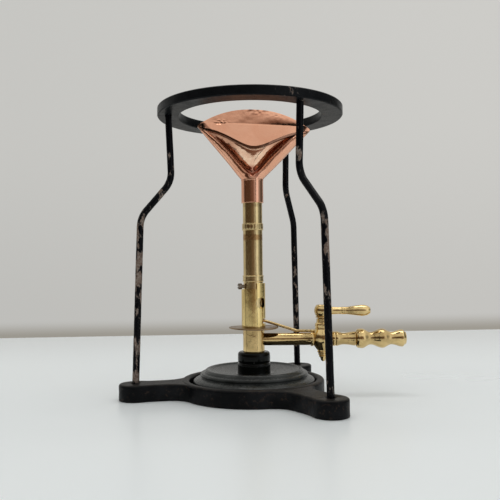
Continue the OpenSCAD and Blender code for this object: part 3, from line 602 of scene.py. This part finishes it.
def rounded_path(path, radius, step=2.0):
    """A path in the XZ plane with its corners rounded, as [x, z] points."""
    out = [Vector(path[0])]
    for a, b, c in zip(path, path[1:], path[2:]):
        a, b, c = Vector(a), Vector(b), Vector(c)
        u, v = (b - a).normalized(), (c - b).normalized()
        turn = atan2(u.x * v.y - u.y * v.x, u.dot(v))
        side = 1 if turn > 0 else -1
        start = b - u * radius * tan(abs(turn) / 2)
        middle = start + side * radius * Vector((-u.y, u.x))
        first = atan2(u.y, u.x)
        steps = max(3, ceil(degrees(abs(turn)) / step))
        for k in range(steps + 1):
            h = first + turn * k / steps
            out.append(middle + side * radius * Vector((sin(h), -cos(h))))
    out.append(Vector(path[-1]))
    return out


def densify(path, gap):
    """The path with extra points, so that none lie further apart than the gap."""
    out = []
    for a, b in zip(path, path[1:]):
        n = max(1, ceil((b - a).length / gap))
        out += [a.lerp(b, k / n) for k in range(n)]
    return [*out, path[-1]]


def swept(path, radius, sides, level=False):
    """Rings round a path in the XZ plane; level ends are cut level."""
    rings, last = [], len(path) - 1
    for i, p in enumerate(path):
        d = (path[min(i + 1, last)] - path[max(i - 1, 0)]).normalized()
        flat = level and i in (0, last)
        ring = []
        for k in range(sides):
            t = 2 * pi * k / sides
            c, e = radius * cos(t), radius * sin(t)
            if flat:
                ring.append(Vector((p.x + c / max(abs(d.y), 0.2), e, p.y)))
            else:
                ring.append(Vector((p.x + c * d.y, e, p.y - c * d.x)))
        rings.append(ring)
    return rings


# Legs and ring

RING_MID, STAND_X, KNEE_Z, SHOULDER_Z, RING_Z = 53.15, -1.0, 114.5, 137.5, 179.7
ROD_R, BEND_R, TENON_R = 2.2, 17, 1.5
LEGS = {"leg_left": (-169, 75), "leg_front": (-56.2, 77.6), "leg_back": (61, 68.2)}


def at_leg(az, along, z=0.0):
    """A point of the stand at a leg's azimuth."""
    a = radians(az)
    return Vector((STAND_X + along * cos(a), along * sin(a), z))


def make_leg(name, az, foot_r):
    corners = [(foot_r, 0.3), (foot_r - 3.9, KNEE_Z), (RING_MID - 1.7, SHOULDER_Z), (RING_MID, RING_Z)]
    rings = swept(densify(rounded_path(corners, BEND_R), 1.0), ROD_R, 40, level=True)
    turn = Matrix.Translation((STAND_X, 0, 0)) @ Matrix.Rotation(radians(az), 4, "Z")
    out = []
    for i, ring in enumerate(rings):
        middle = sum(ring, Vector()) / len(ring)
        wide = min(1.0, min(i, len(rings) - 1 - i) / 6)
        new = []
        for p in ring:
            where = Vector((p.x + az, p.y, p.z))
            dent = 0.03 * noise.noise(where * 0.13) + 0.018 * noise.noise(where * 0.6)
            new.append(turn @ (middle + (p - middle) * (0.99 + wide * dent)))
        out.append(new)
    tenon = [(0.01, 185.55), (1.0, 185.5), (1.45, 185.15), (TENON_R, 184.9), (TENON_R, 179)]
    tenon = lathe(softened(tenon), 32, at=at_leg(az, RING_MID))
    parts = rings_to_mesh(out), rings_to_mesh(tenon)
    from_points(name + "_rod", *joined(*parts), PAINT, "stand", "black_paint", [name], 50)


for leg, (leg_az, leg_foot) in LEGS.items():
    make_leg(leg, leg_az, leg_foot)

ring_section = [(46.2, 0.6), (46.8, 0), (59.5, 0), (60.1, 0.6)]
ring_section += [(60.1, 5.3), (59.5, 5.9), (46.8, 5.9), (46.2, 5.3)]
ring_section = softened(looped(ring_section), 1, closed=True)
turned(
    "ring_band", ring_section, RING, "stand", "black_paint", ["trivet_ring"],
    [rod(TENON_R + 0.03, 178, 188, 32, at=at_leg(az, RING_MID)) for az, _ in LEGS.values()],
    edge=0.12, steps=256, at=(STAND_X, 0, RING_Z),
)

# The stand's casting: its outline is traced round hub, arms and pads, and its top edge is rounded. The
# plate ends at RIM_R, inside the hub's own turned ring

CAST_T, CAST_ROUND, HUB_R, BORE_R, RIM_R, HUB_TOP = 10.4, 1.5, 46.2, 41.0, 43.6, 10.8
ARM_HALF, PAD_R = 9, 10.3


def blend_min(a, b, width):
    """The lesser of two distances, with the corner between them filled."""
    near = max(width - abs(a - b), 0) / width
    return min(a, b) - near * near * width / 4


def casting_field(p):
    """Distance to the casting's outline, negative inside, with the corners between its parts filled."""
    field = p.length - HUB_R + 0.25
    for az, foot_r in LEGS.values():
        c, s = cos(radians(az)), sin(radians(az))
        along, across = p.x * c + p.y * s, p.y * c - p.x * s
        dx, dy = max(BORE_R + 1 - along, along - foot_r), abs(across) - ARM_HALF
        arm = hypot(max(dx, 0), max(dy, 0)) + min(max(dx, dy), 0)
        pad = hypot(along - foot_r, across) - PAD_R
        field = blend_min(field, blend_min(arm, pad, 3), 11)
    return field


def slope(field, p):
    """Unit direction in which the field grows fastest."""
    e = 0.02
    along_x = field(p + Vector((e, 0))) - field(p - Vector((e, 0)))
    along_y = field(p + Vector((0, e))) - field(p - Vector((0, e)))
    return Vector((along_x, along_y)).normalized()


def traced(field, start, step):
    """Points and outward directions along the line where the field is zero."""
    out, p = [], start
    while True:
        for _ in range(3):
            p = p - slope(field, p) * field(p)
        g = slope(field, p)
        if len(out) > 9 and (p - out[0][0]).length < step * 0.7:
            return out
        out.append((p, g))
        p = p + Vector((-g.y, g.x)) * step


def make_plate():
    """The arms and pads: loops of the outline from the floor up, closed by flat faces round the rim."""
    outline = traced(casting_field, Vector((HUB_R, 0)), 0.9)
    levels = [(0.6, 0), (0.15, 0.2), (0, 0.7), (0, 2.5), (0, 5), (0, 7.5), (0, CAST_T - CAST_ROUND)]
    for k in range(1, 7):
        a = radians(15 * k)
        levels.append((CAST_ROUND * (1 - cos(a)), CAST_T - CAST_ROUND * (1 - sin(a))))
    levels.append((2.1, CAST_T))
    bm = bmesh.new()
    loops = []
    for inset, z in levels:
        loop = []
        for p, g in outline:
            where = Vector((p.x, p.y, z))
            swell = 0.16 * noise.noise(where * 0.11) + 0.07 * noise.noise(where * 0.45) - 0.1
            q = p - g * (inset - swell * (1 if inset < 1 else 0.3))
            top = 0 if z < CAST_T - 0.1 else 0.08 * noise.noise(where * 0.12) - 0.06
            loop.append(bm.verts.new(Vector((q.x + STAND_X, q.y, z + top)) * MM))
        loops.append(loop)
    count = len(outline)
    for low, high in zip(loops, loops[1:]):
        for k in range(count):
            q = (k + 1) % count
            bm.faces.new((low[k], low[q], high[q], high[k]))
    steps, rims = 160, []
    for loop, z in ((loops[0], 0.0), (loops[-1], CAST_T - 0.06)):
        rim = []
        for k in range(steps):
            a = 2 * pi * k / steps
            rim.append(bm.verts.new(Vector((STAND_X + RIM_R * cos(a), RIM_R * sin(a), z)) * MM))
        rims.append(rim)
        edges = [bm.edges.new((rim[k], rim[(k + 1) % steps])) for k in range(steps)]
        edges += [bm.edges.get((loop[k], loop[(k + 1) % count])) for k in range(count)]
        bmesh.ops.triangle_fill(bm, use_beauty=True, edges=edges)
    for k in range(steps):
        q = (k + 1) % steps
        bm.faces.new((rims[0][k], rims[1][k], rims[1][q], rims[0][q]))
    bmesh.ops.recalc_face_normals(bm, faces=bm.faces)
    mesh = bpy.data.meshes.new("plate")
    bm.to_mesh(mesh)
    plate = bpy.data.objects.new("plate", mesh)
    bpy.context.scene.collection.objects.link(plate)
    holes = []
    for az, foot_r in LEGS.values():
        hole_r = ROD_R + 0.04
        cone = [(hole_r, -1), (hole_r, CAST_T - 1.2), (3.5, CAST_T + 0.1), (3.6, CAST_T + 1)]
        holes.append(blank(*rings_to_mesh(lathe(cone, 40, at=at_leg(az, foot_r - 0.2)))))
    add_piece("stand_plate", carved(plate, holes), CAST, "stand", ["stand_base"], 50)


def make_hub():
    """The hub's ring, cast in one with the plate: rounded on top and a little uneven."""
    hub = [(BORE_R + 0.4, 0), (HUB_R - 0.5, 0), (HUB_R, 0.6)]
    hub += [(HUB_R, HUB_TOP - 1.5), (HUB_R - 0.44, HUB_TOP - 0.44), (HUB_R - 1.5, HUB_TOP)]
    hub += [(BORE_R + 1.5, HUB_TOP), (BORE_R + 0.44, HUB_TOP - 0.44), (BORE_R, HUB_TOP - 1.5)]
    hub.append((BORE_R, 0.6))
    rings = lathe(softened(looped(hub, 0.5, 3), 2, closed=True), 240, at=(STAND_X, 0, 0))
    for ring in rings:
        for p in ring:
            swell = 0.12 * noise.noise(p * 0.1) + 0.05 * noise.noise(p * 0.4) - 0.07
            out = Vector((p.x - STAND_X, p.y, 0))
            p += out.normalized() * swell * (1 if out.length > 44 else 0.5)
            p.z += 0.5 * swell if p.z > 10 else 0
    from_points("stand_hub", *rings_to_mesh(rings, closed=True), CAST, "stand", "stand_cast_iron", [], 60)


make_plate()
make_hub()

# The foot: turned mouldings, dish and boss, over the recess underneath

mouldings = [
    (38.7, 0), (39.5, 0.7), (39.5, 9.6), (38.4, 10.8), (35.4, 12.0), (34.4, 12.2), (34.3, 12.6),
    (34.8, 13.4), (34.4, 14.6), (33.4, 15.1), (32.5, 14.9), (32.2, 15.5), (31.4, 16.5), (30.6, 17.0),
    (30.1, 17.05), (29.3, 17.0), (28.6, 16.7), (27.6, 16.1), (26.1, 15.8),
]
dish = [
    (26.1, 15.8), (18, 14.85), (11.2, 14.05), (BOSS_R + 0.1, 14.2), (BOSS_R + 0.1, 20.2), (10.3, 20.6),
    (9.9, 20.8), (10.1, 21.2), (BOSS_R, 21.6), (BOSS_R, 26.4), (9.9, 27.5), (8.8, 28), (5.1, 28),
]
foot = softened(mouldings) + softened(dish)
under = [(5.05, 27.9), (5.05, 14), (5.05, 0), (13.6, 0), (13.6, 6), (33.5, 6), (33.5, 0)]
turned("foot_turning", foot + under, FOOT, "burner", "foot_cast_iron", ["burner_base"], steps=192, sharp=42)

# Gas body, tube, regulator and screw

core = [
    (1.7, 20), (4.9, 20), (4.9, 28.03), (6.85, 28.03), (7, 28.2), (7, 42.4), (6.8, 42.6), (5.3, 42.6),
    (5.3, 45.1), (2.3, 45.1), (2.3, 42), (1.7, 42), (1.7, 20),
]
turned("core_turning", looped(core)[:-1], BRASS, "burner", "brass", ["gas_body"])
dress("gas_jet", BRASS)

TUBE_LOW, TUBE_TOP, TUBE_R, TUBE_BORE_R, SLEEVE_R, SLEEVE_OUT = 42.6, 138.3, 6.35, 5.35, 6.4, 7.75
AIR_Z, AIR_R, SCREW_Z, SCREW_AZ = 59.3, 3.6, 70, -160

# The by-pass tube slopes down from the riser inside the burner tube, through the sleeve's slot

LOW_X, LOW_Z, SLOT_Z, RISER_X = 27.8, 40.8, 47.3, 5.05
BYPASS_SLOPE = (SLOT_Z - LOW_Z) / (LOW_X - SLEEVE_OUT)
RISER = [(RISER_X, SLOT_Z + BYPASS_SLOPE * (SLEEVE_OUT - RISER_X)), (RISER_X, 131.0)]

wall = [
    (TUBE_BORE_R, TUBE_LOW), (TUBE_R - 0.1, TUBE_LOW), (TUBE_R, TUBE_LOW + 0.1), (TUBE_R, TUBE_TOP - 0.15),
    (TUBE_R - 0.15, TUBE_TOP), (TUBE_BORE_R, TUBE_TOP), (TUBE_BORE_R, TUBE_LOW),
]
outside = Vector((14, RISER[0][1] - BYPASS_SLOPE * (14 - RISER_X)))
leading = swept([Vector(RISER[0]), outside], 0.98, 24)
holes = [rod(AIR_R, 0, 10, 64, axis="x", at=(0, 0, AIR_Z), az=az) for az in (-15, 165)]
holes += [rod(1.13, 0, 10, 32, axis="x", at=(0, 0, SCREW_Z), az=SCREW_AZ), blank(*rings_to_mesh(leading))]
turned("tube_wall", looped(wall)[:-1], TUBE, "burner", "brass", ["burner_tube"], holes, edge=0.06)

sleeve = [
    (SLEEVE_R, 43.65), (SLEEVE_OUT - 0.1, 43.65), (SLEEVE_OUT, 43.75), (SLEEVE_OUT, 71.85),
    (SLEEVE_OUT - 0.15, 72), (SLEEVE_R, 72), (SLEEVE_R, 43.65),
]
holes = [rod(AIR_R, 0, 10, 64, axis="x", at=(0, 0, AIR_Z), az=az) for az in (-50, 130)]
holes += [wedge(-230, -72, 5.4, 9, 68.2, 73), wedge(-48, 40, 5.4, 9, 45.97, 49.07)]
turned("sleeve_wall", looped(sleeve)[:-1], SLEEVE, "regulator", "brass", ["air_sleeve"], holes, edge=0.08)

# The thumb disc is bent a little out of true, highest on two opposite sides

DISC_R, DISC_STEPS, DISC_BEND = 16, 144, 0.16
disc = [
    (SLEEVE_R, 42.65), (DISC_R - 0.5, 42.65), (DISC_R - 0.1, 42.8), (DISC_R, 43.15), (DISC_R - 0.1, 43.5),
    (DISC_R - 0.5, 43.65), (SLEEVE_R, 43.65), (SLEEVE_R, 42.65),
]
rings = lathe(looped(disc)[:-1], DISC_STEPS)
for ring in rings:
    for k, p in enumerate(ring):
        p.z += DISC_BEND * sin(4 * pi * k / DISC_STEPS + 0.8) * (p.xy.length / DISC_R) ** 4
points, faces = rings_to_mesh(rings, closed=True)
from_points("disc_plate", points, faces, DULL, "regulator", "dull_brass", ["thumb_disc"])


def make_screw():
    """The stop screw, with a slot cut across its head."""
    profile = [(0.01, 4.6), (1.1, 4.6), (1.1, 7.95), (1.75, 8.0), (1.95, 8.2), (1.95, 9.9)]
    profile += [(1.7, 10.3), (0.9, 10.4), (0.01, 10.4)]
    profile = softened(looped(profile, 0.2, 1), 1)
    points, faces = rings_to_mesh(lathe(profile, 64, axis="x", at=(0, 0, SCREW_Z), az=SCREW_AZ))
    turn = Matrix.Translation((0, 0, SCREW_Z)) @ Matrix.Rotation(radians(SCREW_AZ), 4, "Z")
    corners = [turn @ Vector((x, y, z)) for x in (9.6, 11) for y in (-3, 3) for z in (-0.3, 0.3)]
    sides = [(0, 1, 3, 2), (4, 6, 7, 5), (0, 4, 5, 1), (2, 3, 7, 6), (0, 2, 6, 4), (1, 5, 7, 3)]
    from_points(
        "screw_turning", points, faces, SCREW, "burner", "dark_steel", ["stop_screw"],
        cutters=[blank(corners, sides)], edge=0.06,
    )


make_screw()


def make_band(name, node, z, h, beads):
    """A raised band with a ridge on either edge and a plain row of beads, if any, between them."""
    steps, rows, floor_r = 240, 10, 6.72
    lower = [(6.39, 0), (6.7, 0), (6.9, 0.2), (6.95, 0.45), (6.9, 0.7)]
    upper = [(6.9, h - 0.7), (6.95, h - 0.45), (6.9, h - 0.2), (6.7, h), (6.39, h)]
    floor = [(floor_r, 0.7 + (h - 1.4) * k / rows) for k in range(rows + 1)]
    rings = lathe(lower + floor + upper, steps, at=(0, 0, z))
    middle = len(lower) + rows // 2
    for i, ring in enumerate(rings):
        across = (i - middle) / (rows // 2)
        if abs(across) > 1 or not beads:
            continue
        for k, p in enumerate(ring):
            wave = abs(sin(pi * beads * k / steps))
            lift = 0.2 * sqrt(max(0, 1 - across * across)) * wave
            scale = 1 + lift / floor_r
            ring[k] = Vector((p.x * scale, p.y * scale, p.z))
    points, faces = rings_to_mesh(rings, closed=True)
    from_points(name, points, faces, TUBE, "burner", "brass", [node], 60)


make_band("band_beaded", "band_upper", 106.2, 4.5, 22)
make_band("band_plain", "band_lower", 72.9, 4.1, 0)


# ---- Copper spreader ----

# Heights are above the neck at NECK_Z, and the fan leans by FAN_TILT degrees. u runs over the width from
# -1 to 1, and the lower sheet ends at the crease, where the upper sheet starts

FAN_H, TIP_H, FAN_W, CREASE_H, NECK_R, TIP_BLUNT = 45.8, 33.2, 36.8, 20.6, 7.2, 1.1
NECK_Z, BEND_H, BAND_H, VALLEY_Y, SHEET = 139.4, 35.72, 2.6, 2.0, 0.7
CREASE_TOP, CREASE_ROUND, CREASE_SWELL = TIP_H - 0.2, 0.3, 0.9
FAN_TILT, FAN_TURN, FOLD_EDGE = 2.4, 2, 0.897

# How high the valley lies in the left and in the right half, as (distance from the middle, height)

VALLEYS = (
    [(0, 3.2), (4, 6.6), (8.2, 10.4), (15, 17.6), (20, 22.2), (24, 25.6), (31, 30.6), (38, 34)],
    [(0, 3.2), (4, 7.2), (10.5, 15.2), (17, 21.8), (22, 26.8), (26, 29.6), (31, 31.6), (38, 34)],
)


def lerp(a, b, t):
    """The value at share t of the way from a to b."""
    return a + (b - a) * t


def smooth(t):
    """A share eased at both ends."""
    t = min(max(t, 0), 1)
    return t * t * (3 - 2 * t)


def crease_at(u):
    """Height of the rim, where the lower sheet meets the upper: lowest and rounded in the middle."""
    out = (hypot(u, CREASE_ROUND) - CREASE_ROUND) / (hypot(1, CREASE_ROUND) - CREASE_ROUND)
    return lerp(CREASE_H, CREASE_TOP, out + CREASE_SWELL * out * (1 - out))


def top_at(u):
    """Height of the upper edge."""
    return lerp(FAN_H, TIP_H + TIP_BLUNT, abs(u) ** 2.2)


def rim_at(u):
    """Half thickness at the crease."""
    return 7.8 * max(1 - u * u, 0) ** 1.65 + 1.2 * sqrt(max(1 - u**6, 0))


def read_off(line, x):
    """Value of a line of (x, value) corners at x."""
    for (x0, y0), (x1, y1) in zip(line, line[1:]):
        if x <= x1:
            return lerp(y0, y1, max(x - x0, 0) / (x1 - x0))
    return line[-1][1]


def fold_at(u, t):
    """Half thickness of the lower sheet: side folds, a deep valley, then a belly that swells to the rim."""
    valley = VALLEYS[u > 0]
    x, h = abs(u) * lerp(NECK_R, FAN_W, t), crease_at(u) * t
    low, band_low = read_off(valley, x), crease_at(u) - BAND_H
    if h > low:
        share = min((h - low) / max(band_low - low, 1.6), 1)
        under_rim = rim_at(u) - 0.7 * (1 - u * u)
        body = lerp(VALLEY_Y, under_rim, 1 - (1 - share) ** 2.1)
        return lerp(body, rim_at(u) + 0.38 * u * u * (crease_at(u) - h), smooth((h - band_low) / 0.7))
    edge = NECK_R + FOLD_EDGE * h
    inner = read_off([(b, a) for a, b in valley], h) if h > valley[0][1] else 0
    share = min(max((edge - x) / (edge - inner), 0), 1)
    full = max(0.6 * (edge - inner), VALLEY_Y)
    if share < 0.68:
        return full * sqrt(1 - (1 - share / 0.68) ** 2)
    return lerp(full, VALLEY_Y, smooth((share - 0.68) / 0.32))


def upper_at(u, h):
    """Half thickness above the crease: leaning back to the bend, then nearly upright."""
    lip = 1.2 * sqrt(max(1 - u**8, 0))
    bend = lip + (1.15 - 0.3 * u) * (1 - u * u)
    s = (h - crease_at(u)) / (BEND_H - crease_at(u))
    if s < 1:
        return lerp(rim_at(u), bend, s)
    share = min((h - BEND_H) / max(top_at(u) - BEND_H, 0.01), 1)
    return lerp(bend, lip, share ** (1 + 1.3 * smooth((u - 0.02) / 0.3)))


# Dents near the upper edge: place across, height, width, depth

FAN_DENTS = ((-21.5, 35.6, 3.4, 0.9), (1, 44.6, 7, 0.35), (15, 42.4, 4, 0.2))


def skin_point(part, s, a, inset):
    """A point of the lower (0) or upper (1) sheet, at share s of its height and angle a round the fan."""
    u = cos(a) * 0.9965
    half = lerp(NECK_R, FAN_W, s) if part == 0 else FAN_W
    h = crease_at(u) * s if part == 0 else lerp(crease_at(u), top_at(u), s)
    if part == 0:
        thick = lerp(NECK_R * sqrt(max(1 - u * u, 0)), fold_at(u, s), smooth(h / 7))
    else:
        thick = upper_at(u, h)
    depth = thick - inset * min(thick / (2 * inset + 0.01), 1)
    side = 1 if sin(a) > 0 else -1
    x, y = u * (half - inset * 1.6), side * max(depth, 0.12 * (1 - abs(u) ** 8))
    grow = smooth((s - 0.35) / 0.3) if part == 0 else 1
    where = Vector((x, side * 9, h))
    wave = 0.22 * noise.noise(where * 0.13) + 0.06 * noise.noise(where * 0.45)
    wave += 0.07 * noise.noise(where * 0.9) * (1 - part)
    y += side * grow * wave * min(thick / 3, 1) * (0.6 if part else 1)
    for at_x, at_h, wide, lift in FAN_DENTS:
        near = exp(-(((x - at_x) / wide) ** 2) - ((h - at_h) / 1.8) ** 2)
        if near > 0.01 and part == 1:
            y += side * near * lift * noise.noise(Vector((x * 0.8, side, h * 0.8)))
    tilt = radians(FAN_TILT) * smooth(h / (FAN_H * 0.2))
    return Vector((x * cos(tilt) + h * sin(tilt), y, h * cos(tilt) - x * sin(tilt)))


# The smoke stain, the painted highlight and the painted shade take the valleys as straight lines that rise
# from the middle

VALLEY_FOOT, VALLEY_RISE = 3.6, 0.97


def copper_zones(s, where, shade):
    """Colours that follow the folds: a smoked belly with a painted highlight on its downward faces, painted
    shade along the valley creases and under the rim, and a red-brown painted shade in the hollow at the
    neck.
    """
    across, _, up = s.axes(where)
    lean, high = radians(FAN_TILT), s.minus(up, NECK_Z * MM)
    height = s.plus(high, s.times(across, lean))
    side = s.math("ABSOLUTE", s.minus(across, s.times(high, lean)))
    above = s.minus(s.minus(height, VALLEY_FOOT * MM), s.times(side, VALLEY_RISE))
    facing_down = s.span(s.axes(s.geometry("Normal"))[2], -0.06, -0.3)
    belly = s.times(facing_down, s.span(above, -0.0005, 0.0015))
    blotch = s.span(s.noise(where, 320.0, 3.0), 0.3, 0.7, 0.45, 1.0)
    smoked = s.times(s.times(belly, s.span(side, 0.008, 0.015)), 0.62)
    shade = s.mix(smoked, shade, (0.46, 0.25, 0.16))
    # painted highlight: the belly's downward faces are lightened, standing in for the reflection of the
    # bright table
    belly_highlight = s.times(s.times(belly, s.span(side, 0.014, 0.006)), blotch)
    shade = s.mix(s.times(belly_highlight, s.span(height, 0.007, 0.0095)), shade, (1.0, 0.70, 0.50))
    # painted shade: dark lines along the valley creases
    line = s.span(s.math("ABSOLUTE", above), 0.0018, 0.0004, 0.0, 0.75)
    shade = s.mix(line, shade, (0.27, 0.12, 0.075))
    # painted shade: a dark red-brown zone in the hollow low on the fan, by the neck
    low = s.times(s.span(height, 0.0095, 0.007), s.span(height, 0.0002, 0.0012))
    low = s.times(s.times(low, s.span(side, 0.0055, 0.003)), 0.7)
    shade = s.mix(low, shade, (0.42, 0.17, 0.115))
    # painted shade: a dark arc just under the rim's overhang, along the crease
    out = s.math("POWER", s.math("DIVIDE", side, FAN_W * MM), 2.0)
    out = s.math("POWER", s.plus(out, CREASE_ROUND**2), 0.5)
    out = s.math("DIVIDE", s.minus(out, CREASE_ROUND), hypot(1, CREASE_ROUND) - CREASE_ROUND)
    out = s.minus(s.times(out, 1 + CREASE_SWELL), s.times(s.times(out, out), CREASE_SWELL))
    rise = s.times(out, (CREASE_TOP - CREASE_H) * MM)
    under = s.minus(s.plus(CREASE_H * MM, rise), height)
    arc = s.times(s.span(under, -0.0001, 0.0003), s.span(under, 0.0026, 0.0016, 0.0, 0.85))
    return s.mix(arc, shade, (0.20, 0.105, 0.07))


COPPER = metal(
    "copper_sheet", (0.83, 0.44, 0.29), (0.78, 0.38, 0.24), 0.12, (0.36, 0.14, 0.07), 0.3,
    lines=RUBBED_LINES, zones=copper_zones,
)


def make_fan():
    """The folded sheet: its outer skin up to the top edge, then its inner skin back down."""
    columns = 280
    rows = [(0, k / 60 * 0.88) for k in range(61)]
    rows += [(0, 0.88 + 0.12 * k / 24) for k in range(1, 25)]
    rows += [(1, k / 40) for k in range(1, 41)]
    turn = Matrix.Rotation(radians(FAN_TURN), 4, "Z")
    angles = [2 * pi * (k + 0.5) / columns for k in range(columns)]
    rings = []
    for inset, order in ((0, rows), (SHEET, rows[::-1])):
        for part, s in order:
            ring = [turn @ skin_point(part, s, a, inset) for a in angles]
            rings.append([p + Vector((0, 0, NECK_Z)) for p in ring])
    points, faces = rings_to_mesh(rings, closed=True)
    from_points("fan_sheet", points, faces, COPPER, "spreader", "copper", ["spreader_fan"], 62)


make_fan()
SOCKET_LOW, SOCKET_R = 124, 6.4
socket = [
    (SOCKET_R, SOCKET_LOW), (7.1, SOCKET_LOW), (7.25, SOCKET_LOW + 0.2), (NECK_R, SOCKET_LOW + 0.6),
    (NECK_R, TUBE_TOP), (7.32, 138.7), (7.36, 139.0), (7.3, 139.3), (7.1, NECK_Z), (TUBE_BORE_R, NECK_Z),
    (TUBE_BORE_R, TUBE_TOP + 0.06), (SOCKET_R, TUBE_TOP + 0.06), (SOCKET_R, SOCKET_LOW),
]
turned("socket_turning", looped(socket)[:-1], COPPER, "spreader", "copper", ["spreader_socket"])

# ---- Gas line, tap and tail ----

BYPASS_R, BYPASS_BORE_R = 0.9, 0.5
path = [Vector((39.8, LOW_Z - 0.2)), Vector((LOW_X, LOW_Z)), *map(Vector, RISER)]
path = densify(rounded_path(path, 2, 4.0), 2.0)
skins = swept(path, BYPASS_R, 24) + swept(path, BYPASS_BORE_R, 24)[::-1]
points, faces = rings_to_mesh(skins, closed=True)
from_points("bypass_pipe", points, faces, BRASS, "burner", "brass", ["bypass_tube"], 50)

LINE_Z, TAP_X, PIPE_R, PIPE_BORE_R, GAS_R = 35.5, 44.8, 4, 2.8, 1.7
along = {"axis": "x", "at": (0, 0, LINE_Z)}
pipe = [(PIPE_BORE_R, 4.5), (PIPE_R - 0.05, 4.5), (PIPE_R, 4.6), (PIPE_R, 38.1), (PIPE_R - 0.1, 38.2)]
pipe += [(PIPE_BORE_R, 38.2), (PIPE_BORE_R, 4.5)]
turned("pipe_turning", looped(pipe)[:-1], BRASS, "burner", "brass", ["gas_pipe"], **along)

barrel = [
    (2.6, 28.5), (3.9, 28.5), (4.3, 29), (5.6, 30.7), (6.8, 33.1), (7.1, LINE_Z), (6.8, 38.1),
    (6.1, 39.9), (5.2, 41.5), (5, 42.3), (5, 42.7), (4.8, 42.85), (5, 43), (5, 45.1), (4.9, 45.5),
    (4.2, 46), (4.1, 46.3), (4.1, 47.5), (3.95, 47.65), (4.1, 47.8), (4.1, 48.3), (3.9, 48.6), (3.3, 48.6),
]
barrel = [*softened(barrel), (3.25, 48), (2.6, 29)]

# The body across the barrel, with a collar at either end; its profile is the same both ways from TAP_X

half = [(GAS_R, 8), (4.45, 8), (4.75, 7.7), (4.75, 6.5), (4.45, 6.2), (4.05, 5.7)]
collars = [(r, TAP_X - out) for r, out in half] + [(4.05, TAP_X)]
collars += [(r, TAP_X + out) for r, out in half[::-1]]
collars = softened(collars, 1)
points, faces = joined(
    rings_to_mesh(lathe(barrel, 128, at=(TAP_X, 0, 0)), closed=True),
    rings_to_mesh(lathe(looped(collars), 96, **along), closed=True),
)
from_points("tap_barrel", points, faces, BRASS, "burner", "brass", ["tap_body"], 42)
dress("tap_plug", BRASS)

# The lever is a ball on the plug with an arm of rings and a bulb; heights are above the ball's middle

LEVER_Z, BALL_R, LEVER_AZ = 53.6, 5.4, -2
neck, bulb, reach = 2.4, 3.7, 30.8
hub = [(0.01, 4.15), (2.2, 4.1), (3.3, 4.0)]
for k in range(23):
    a = radians(46 - 4 * k)
    hub.append((BALL_R * cos(a), BALL_R * sin(a)))
hub += [(4.1, -3.7), (4.5, -3.72), (4.75, -4.1), (4.5, -4.5), (0.01, -4.55)]
arm = [
    (0.01, 2), (neck + 0.5, 2), (neck + 0.5, 5.4), (neck, 6.4), (neck - 0.15, reach * 0.4),
    (neck + 0.15, reach * 0.42), (neck - 0.1, reach * 0.44), (neck + 0.15, reach * 0.46),
    (neck - 0.05, reach * 0.48), (neck + 0.1, reach * 0.54), (neck + 0.55, reach * 0.63),
    (bulb - 0.35, reach * 0.74), (bulb, reach * 0.82), (bulb - 0.1, reach * 0.88),
    (bulb - 0.6, reach * 0.94), (bulb - 1.5, reach * 0.985), (bulb - 1.9, reach), (0.01, reach),
]
points, faces = joined(
    rings_to_mesh(lathe(softened(hub), 96, at=(TAP_X, 0, LEVER_Z))),
    rings_to_mesh(lathe(softened(arm), 96, axis="x", at=(TAP_X, 0, LEVER_Z), az=LEVER_AZ)),
)
from_points("lever_turning", points, faces, BRASS, "tap_key", "brass", ["tap_lever"], 44)
ring = [(1.25, 27.95), (3.6, 27.95), (3.7, 28.05), (3.7, 28.35), (3.6, 28.45), (1.25, 28.45)]
turned("washer_disc", ring, BRASS, "tap_key", "brass", ["tap_washer"], steps=64, at=(TAP_X, 0, 0))

# The finial nut narrows downwards over three beads to a round tip

FINIAL_TOP, FINIAL_L, FINIAL_TIP_R, BEADS = 27.93, 5.5, 1.5, (0.16, 0.42, 0.68)
finial = [(0.01, FINIAL_TOP)]
for k in range(61):
    share = k / 60
    swell = max(1 - ((share - bead) / 0.1) ** 2 for bead in BEADS)
    finial.append((lerp(3.5, 1.6, share) + 0.5 * sqrt(max(swell, 0)), FINIAL_TOP - FINIAL_L * share))
for k in range(1, 6):
    a = radians(15 * k)
    finial.append((FINIAL_TIP_R * cos(a), FINIAL_TOP - FINIAL_L - FINIAL_TIP_R * sin(a)))
finial.append((0.01, 20.95))
points, faces = rings_to_mesh(lathe(finial, 72, at=(TAP_X, 0, 0)))
from_points("finial_turning", points, faces, BRASS, "tap_key", "brass", ["finial_nut"], 44)

SEAM, END, WAIST, REED, END_REED, BARB_BORE_R = 65.9, 98.2, 4.0, 6.4, 5.6, 2.2
nipple = [
    (GAS_R, 52.9), (4.4, 52.9), (4.75, 53.3), (4.65, 54.4), (WAIST + 0.15, 55.7), (WAIST - 0.2, 57.5),
    (WAIST - 0.15, 59.6), (WAIST + 0.3, 63.1), (WAIST + 0.7, 65.2), (WAIST + 0.6, 65.6),
    (WAIST + 0.1, SEAM - 0.05),
]
nipple = [*softened(nipple), (GAS_R, SEAM - 0.05)]
turned("nipple_turning", nipple, BRASS, "burner", "brass", ["tail_nipple"], **along)

# The reeds: radii at shares of the connector's length, joined by smooth swells

marks = [
    (0, WAIST + 0.6), (0.02, WAIST + 1.6), (0.05, REED - 0.2), (0.12, REED), (0.3, WAIST + 0.1),
    (0.53, REED - 0.1), (0.72, WAIST + 0.1), (0.93, END_REED), (1, END_REED - 1.5),
]
barb = []
for (s0, r0), (s1, r1) in zip(marks, marks[1:]):
    n = 4 if s1 < 0.06 else 16
    for k in range(n):
        ease = (1 - cos(pi * k / n)) / 2
        barb.append((lerp(r0, r1, ease), lerp(SEAM + 0.05, END, lerp(s0, s1, k / n))))
barb += [(END_REED - 1.6, END), (2.5, END), (BARB_BORE_R, END - 0.3), (BARB_BORE_R, SEAM + 0.05)]
turned("barb_turning", barb, BRASS, "burner", "brass", ["hose_barb"], sharp=48, **along)
